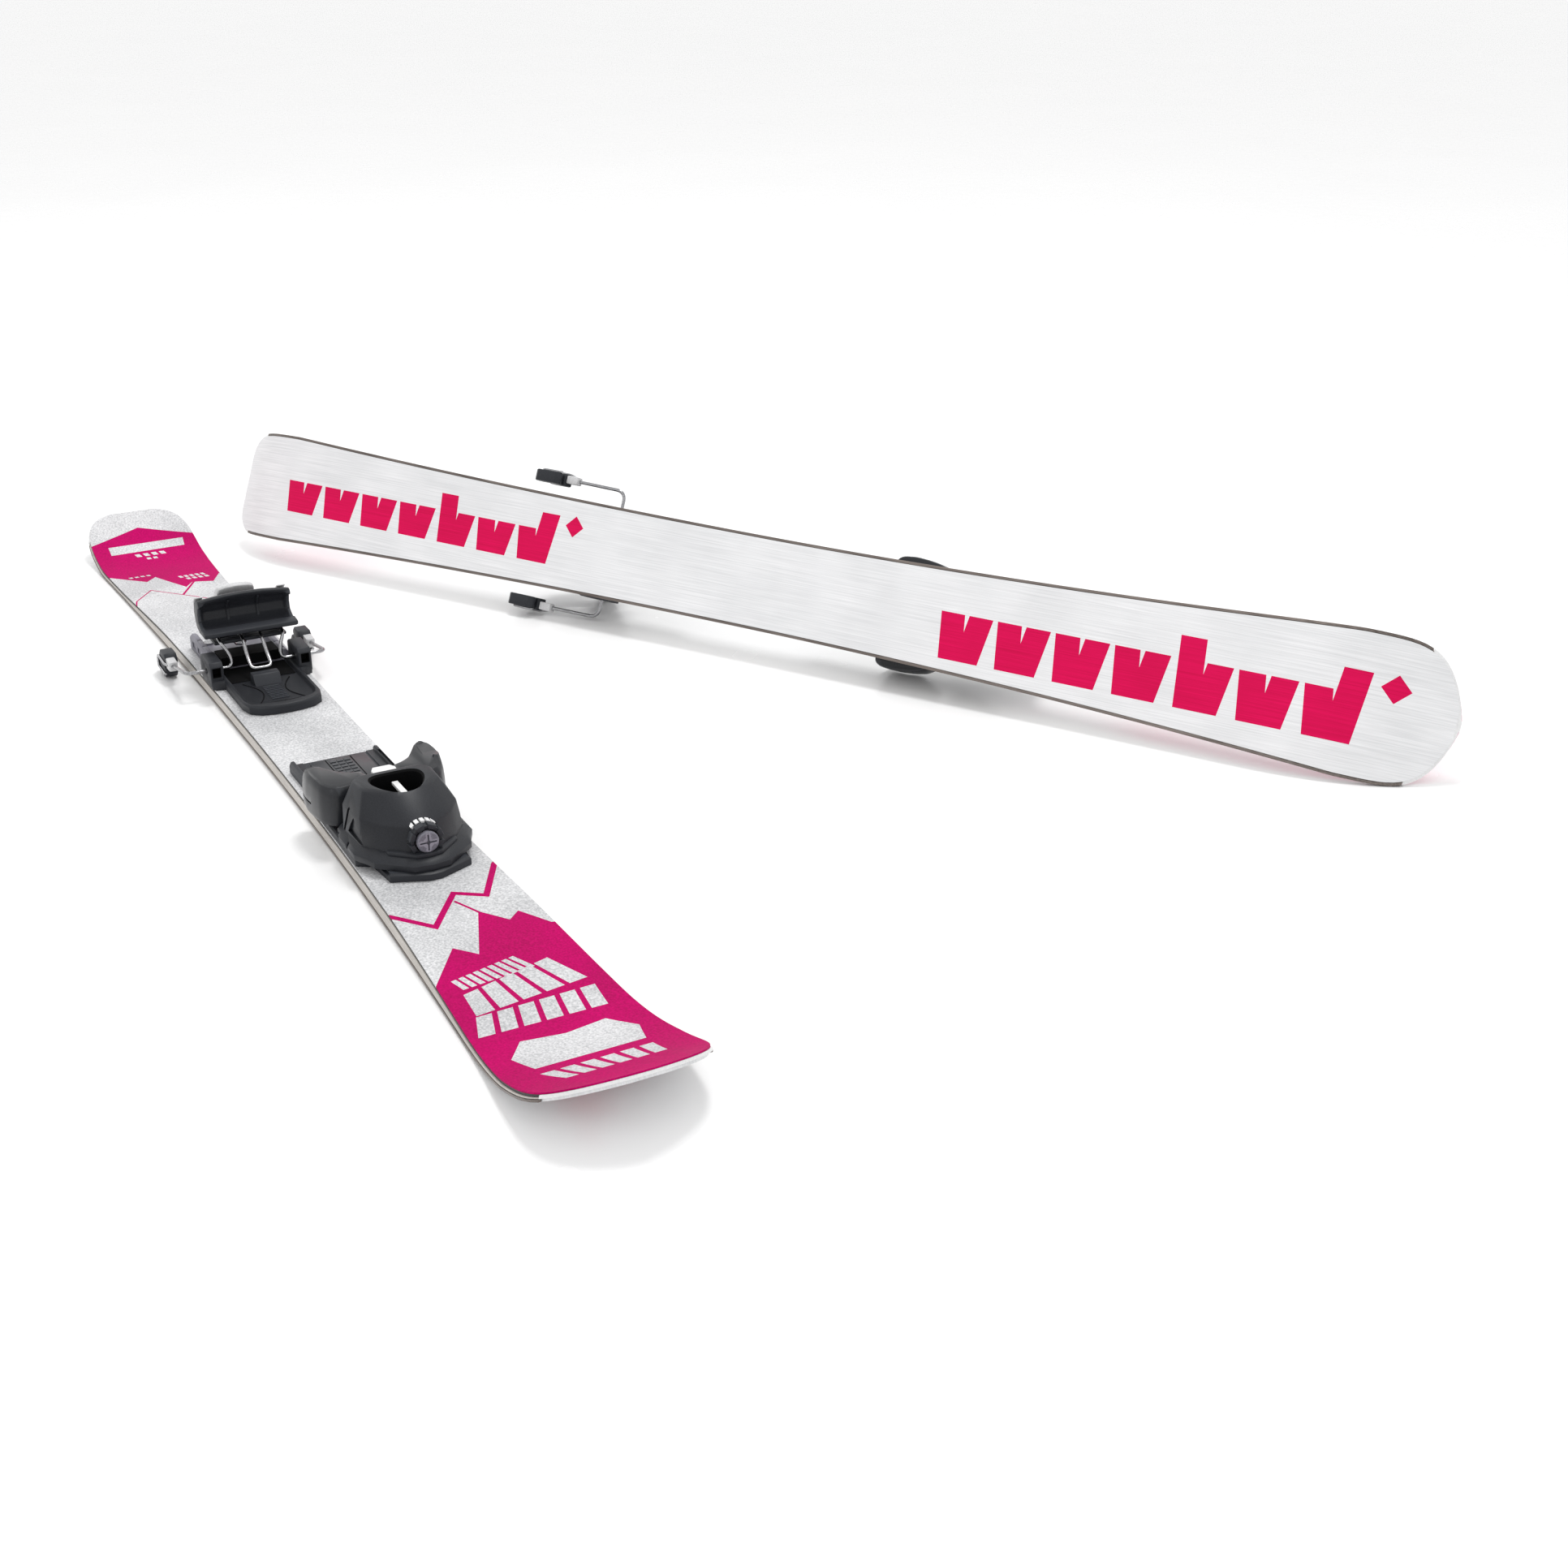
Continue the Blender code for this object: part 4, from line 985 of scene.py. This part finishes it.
def build_heel_lever():
    pivot_s, pivot_z = LEVER_PIVOT
    hub = [(pivot_s + 0.0046 * math.cos(math.radians(angle)),
            pivot_z + 0.0046 * math.sin(math.radians(angle))) for angle in range(180, 331, 15)]
    front = [(0.373, 0.045), (0.379, 0.058), (0.386, 0.0665), (0.3922, 0.0728),
             (0.3932, 0.0756), (0.3912, 0.077), (0.387, 0.0768), (0.38, 0.0722),
             (0.369, 0.06), (0.36, 0.046)]
    rings = []
    for y, share in two_sided(((0.015, 0.86), (0.0138, 0.93), (0.01, 0.975), (0.0, 1.0))):
        rings.append([(pivot_s + (s - pivot_s) * share, y, pivot_z + (z - pivot_z) * share)
                      for s, z in hub + front])
    cuts = [crosswise(0.0029, LEVER_PIVOT, (-0.03, 0.03)),
            prism([(0.37, 0.064), (0.383, 0.0776), (0.378, 0.0806), (0.364, 0.066)], "Y",
                  (-0.011, 0.011))]
    # The lever is light grey: partly its own colour, partly a painted highlight where its top
    # catches the light.
    piece("heel_release_lever", finished([loft(rings)], [GREY_AND_HIGHLIGHT], cuts=cuts, bevel=0.0008,
                                         angle=40.0), "_lever", "heel_lever")


def build_brake_base():
    """A tray with a sunk floor and a tower each side for the brake's wires."""
    line_z = 0.0153
    edge = around([(0.416, 0.04), (0.447, 0.04), (0.45, 0.031), (0.4985, 0.0308),
                   (0.51, 0.0282), (0.5165, 0.021), (0.5192, 0.011), (0.52, 0.0)])
    top = around([(0.416, 0.039), (0.446, 0.039), (0.449, 0.0297), (0.498, 0.0295),
                  (0.509, 0.027), (0.515, 0.0202), (0.5176, 0.0105), (0.5184, 0.0)])
    slab = loft([level(edge, DECK), level(edge, 0.0168), level(top, 0.0185)])
    pocket_top = around([(0.408, 0.0275), (0.497, 0.0275), (0.505, 0.0252), (0.51, 0.019),
                         (0.512, 0.01), (0.5126, 0.0)])
    pocket_low = around([(0.408, 0.0262), (0.494, 0.0262), (0.501, 0.024), (0.505, 0.018),
                         (0.5066, 0.0095), (0.5072, 0.0)])
    pocket = loft([level(pocket_low, 0.0152), level(pocket_top, 0.019)])
    towers, holes = [], []
    for side in (-1, 1):
        towers.append(prism([(0.416, 0.014), (0.4468, 0.014), (0.4468, 0.03),
                             (0.444, 0.033), (0.42, 0.0335), (0.416, 0.031)], "Y",
                            (side * 0.03, side * 0.0405)))
        # Painted shade: the slots where the wires enter are black inside.
        holes.append(look(block((0.4385, 0.45), (side * 0.0322, side * 0.0385),
                                (0.0212, 0.0288)), 1))
        holes.append(crosswise(0.0024, BRAKE_PIVOT, sorted((side * 0.025, side * 0.045))))
    step = prism([(0.4505, 0.0145), (0.4505, 0.0226), (0.4585, 0.0226), (0.465, 0.015)], "Y",
                 (-0.0108, 0.0108))
    ribs = [block((0.4685 + 0.0034 * index, 0.4702 + 0.0034 * index), (-0.0066, 0.0066),
                  (0.015, 0.0157)) for index in range(9)]
    # Painted shade: a thin black sheet on the tray's floor beneath the heel cup.
    ribs.append(look(block((0.4165, 0.45), (-0.0255, 0.0255), (0.015, 0.0156)), 1))
    # Thin lines along the tray's floor, in the black painted shade.
    routes = [[(0.456 + 0.048 * share, side * (0.0185 - 0.009 * math.sin(math.pi * share)),
                line_z) for share in [index / 16 for index in range(17)]] for side in (-1, 1)]
    routes.append([(0.504, y / 1000, line_z) for y in range(-18, 19, 4)])
    lines = [look(tube(route, 0.00045, 8), 1) for route in routes]
    tray = finished([slab], [PLASTIC, PAINTED_SHADE], cuts=[pocket], bevel=0.0007)
    more = [finished(towers, [PLASTIC, PAINTED_SHADE], cuts=holes, bevel=0.0009),
            finished([step], bevel=0.0008), *ribs, *lines]
    piece("brake_tray", with_more(tray, more), replaced="brake_base")


def build_brake_wires():
    pivot_s, pivot_z = BRAKE_PIVOT
    arm_y, loop_y, chamfer = 0.0565, 0.0612, 0.004
    for name, side in (("left", -1), ("right", 1)):
        route = eased([(pivot_s, side * 0.0345, pivot_z), (pivot_s, side * 0.056, pivot_z),
                       (0.381, side * arm_y, 0.0145)], 0.009, 10)
        loop = eased([(0.393, side * arm_y, 0.016), (0.38, side * loop_y, 0.015),
                      (0.356, side * loop_y, 0.016), (0.355, side * loop_y, 0.006),
                      (0.377, side * loop_y, 0.0055)], 0.0035, 6)
        wires = [tube(route, 0.0015), tube(loop, 0.0011, 12)]
        piece("brake_wire_" + name, finished(wires, [STEEL], angle=50.0), "_brake_wires",
              "brake_arm_" + name)
        lobes = []
        for start, end, low, high in ((0.35, 0.376, 0.0008, 0.0128),
                                      (0.3585, 0.38, 0.0118, 0.0222)):
            outline = [(start, low + chamfer), (start + chamfer, low), (end - chamfer, low),
                       (end, low + chamfer), (end, high - chamfer), (end - chamfer, high),
                       (start + chamfer, high), (start, high - chamfer)]
            lobes.append(prism(outline, "Y", sorted((side * 0.0505, side * 0.0605))))
        clip = look(prism([(0.379, 0.0105), (0.39, 0.0115), (0.39, 0.019), (0.379, 0.02)], "Y",
                          sorted((side * 0.053, side * 0.06))), 1)
        mesh = finished([*lobes, clip], [PLASTIC, GREY_AND_HIGHLIGHT], bevel=0.0009)
        piece("brake_pad_" + name, mesh, "_brake_wires", "brake_foot_" + name)
    plate = block((0.402, 0.4215), (-0.029, 0.029), (0.0384, 0.0412))
    grips = [block((0.404 + 0.005 * index, 0.406 + 0.005 * index), (-0.026, 0.026),
                   (0.0408, 0.0415)) for index in range(3)]
    mesh = finished([plate], bevel=0.001, segments=3, late=grips)
    piece("brake_treadle", mesh, "_pedal", "brake_pedal")
    half = [(pivot_s, 0.0335, pivot_z), (pivot_s, 0.0195, pivot_z), (0.43, 0.0205, 0.033),
            (0.4255, 0.0255, 0.0425), (0.417, 0.0255, 0.044), (0.417, 0.0075, 0.044),
            (0.4255, 0.0075, 0.0425), (0.438, 0.008, 0.03), (0.448, 0.008, 0.024)]
    route = half + [(s, -y, z) for s, y, z in reversed(half)]
    piece("brake_leg_wire", finished([tube(eased(route, 0.005, 8), 0.0014)], [STEEL],
                                     angle=50.0), "_pedal", "brake_legs")


def floor_and_lights():
    size = 14.0
    data = bpy.data.meshes.new("floor")
    corners = [(x, y, cad_low.z - GAP) for x, y in ((-size, -size), (size, -size), (size, size),
                                                    (-size, size))]
    data.from_pydata(corners, [], [(0, 1, 2, 3)])
    data.materials.append(surface("studio floor", (0.93, 0.93, 0.93), (0.95, 0.95, 0.95),
                                  (0.22, 0.28), 3.0, specular=0.35))
    linked("floor", data)
    world = bpy.data.worlds.new("studio")
    world.use_nodes = True
    light = world.node_tree.nodes["Background"]
    light.inputs["Color"].default_value = (1.0, 1.0, 1.0, 1.0)
    light.inputs["Strength"].default_value = 0.96
    bpy.context.scene.world = world
    bpy.context.scene.view_settings.view_transform = "Standard"
    lamps = (("key", (-0.35, 0.75, 2.6), 26.0, 0.6), ("fill", (0.9, -1.8, 1.9), 3.0, 1.2),
             ("side", (-2.2, -0.4, 1.2), 3.0, 0.8))
    for name, place, power, width in lamps:
        lamp = bpy.data.lights.new(name, "AREA")
        lamp.energy = power
        lamp.size = width
        aimed(linked(name, lamp), place, Vector((0.0, 0.15, 0.0)) - Vector(place))


def dress_cad():
    """The CAD nodes that still show, the cores and springs, get finished materials."""
    for name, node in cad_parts.items():
        chosen = PLASTIC
        for word, finish in (("core", WOOD), ("spring", STEEL)):
            if word in name:
                chosen = finish
        node.data.materials.clear()
        node.data.materials.append(chosen)


camera()
floor_and_lights()
dress_cad()
build_board()
build_toe_plate()
build_toe_pad()
build_toe_housing()
build_toe_screw()
build_toe_wings()
build_heel_track()
build_heel_carriage()
build_heel_cup()
build_heel_lever()
build_brake_base()
build_brake_wires()
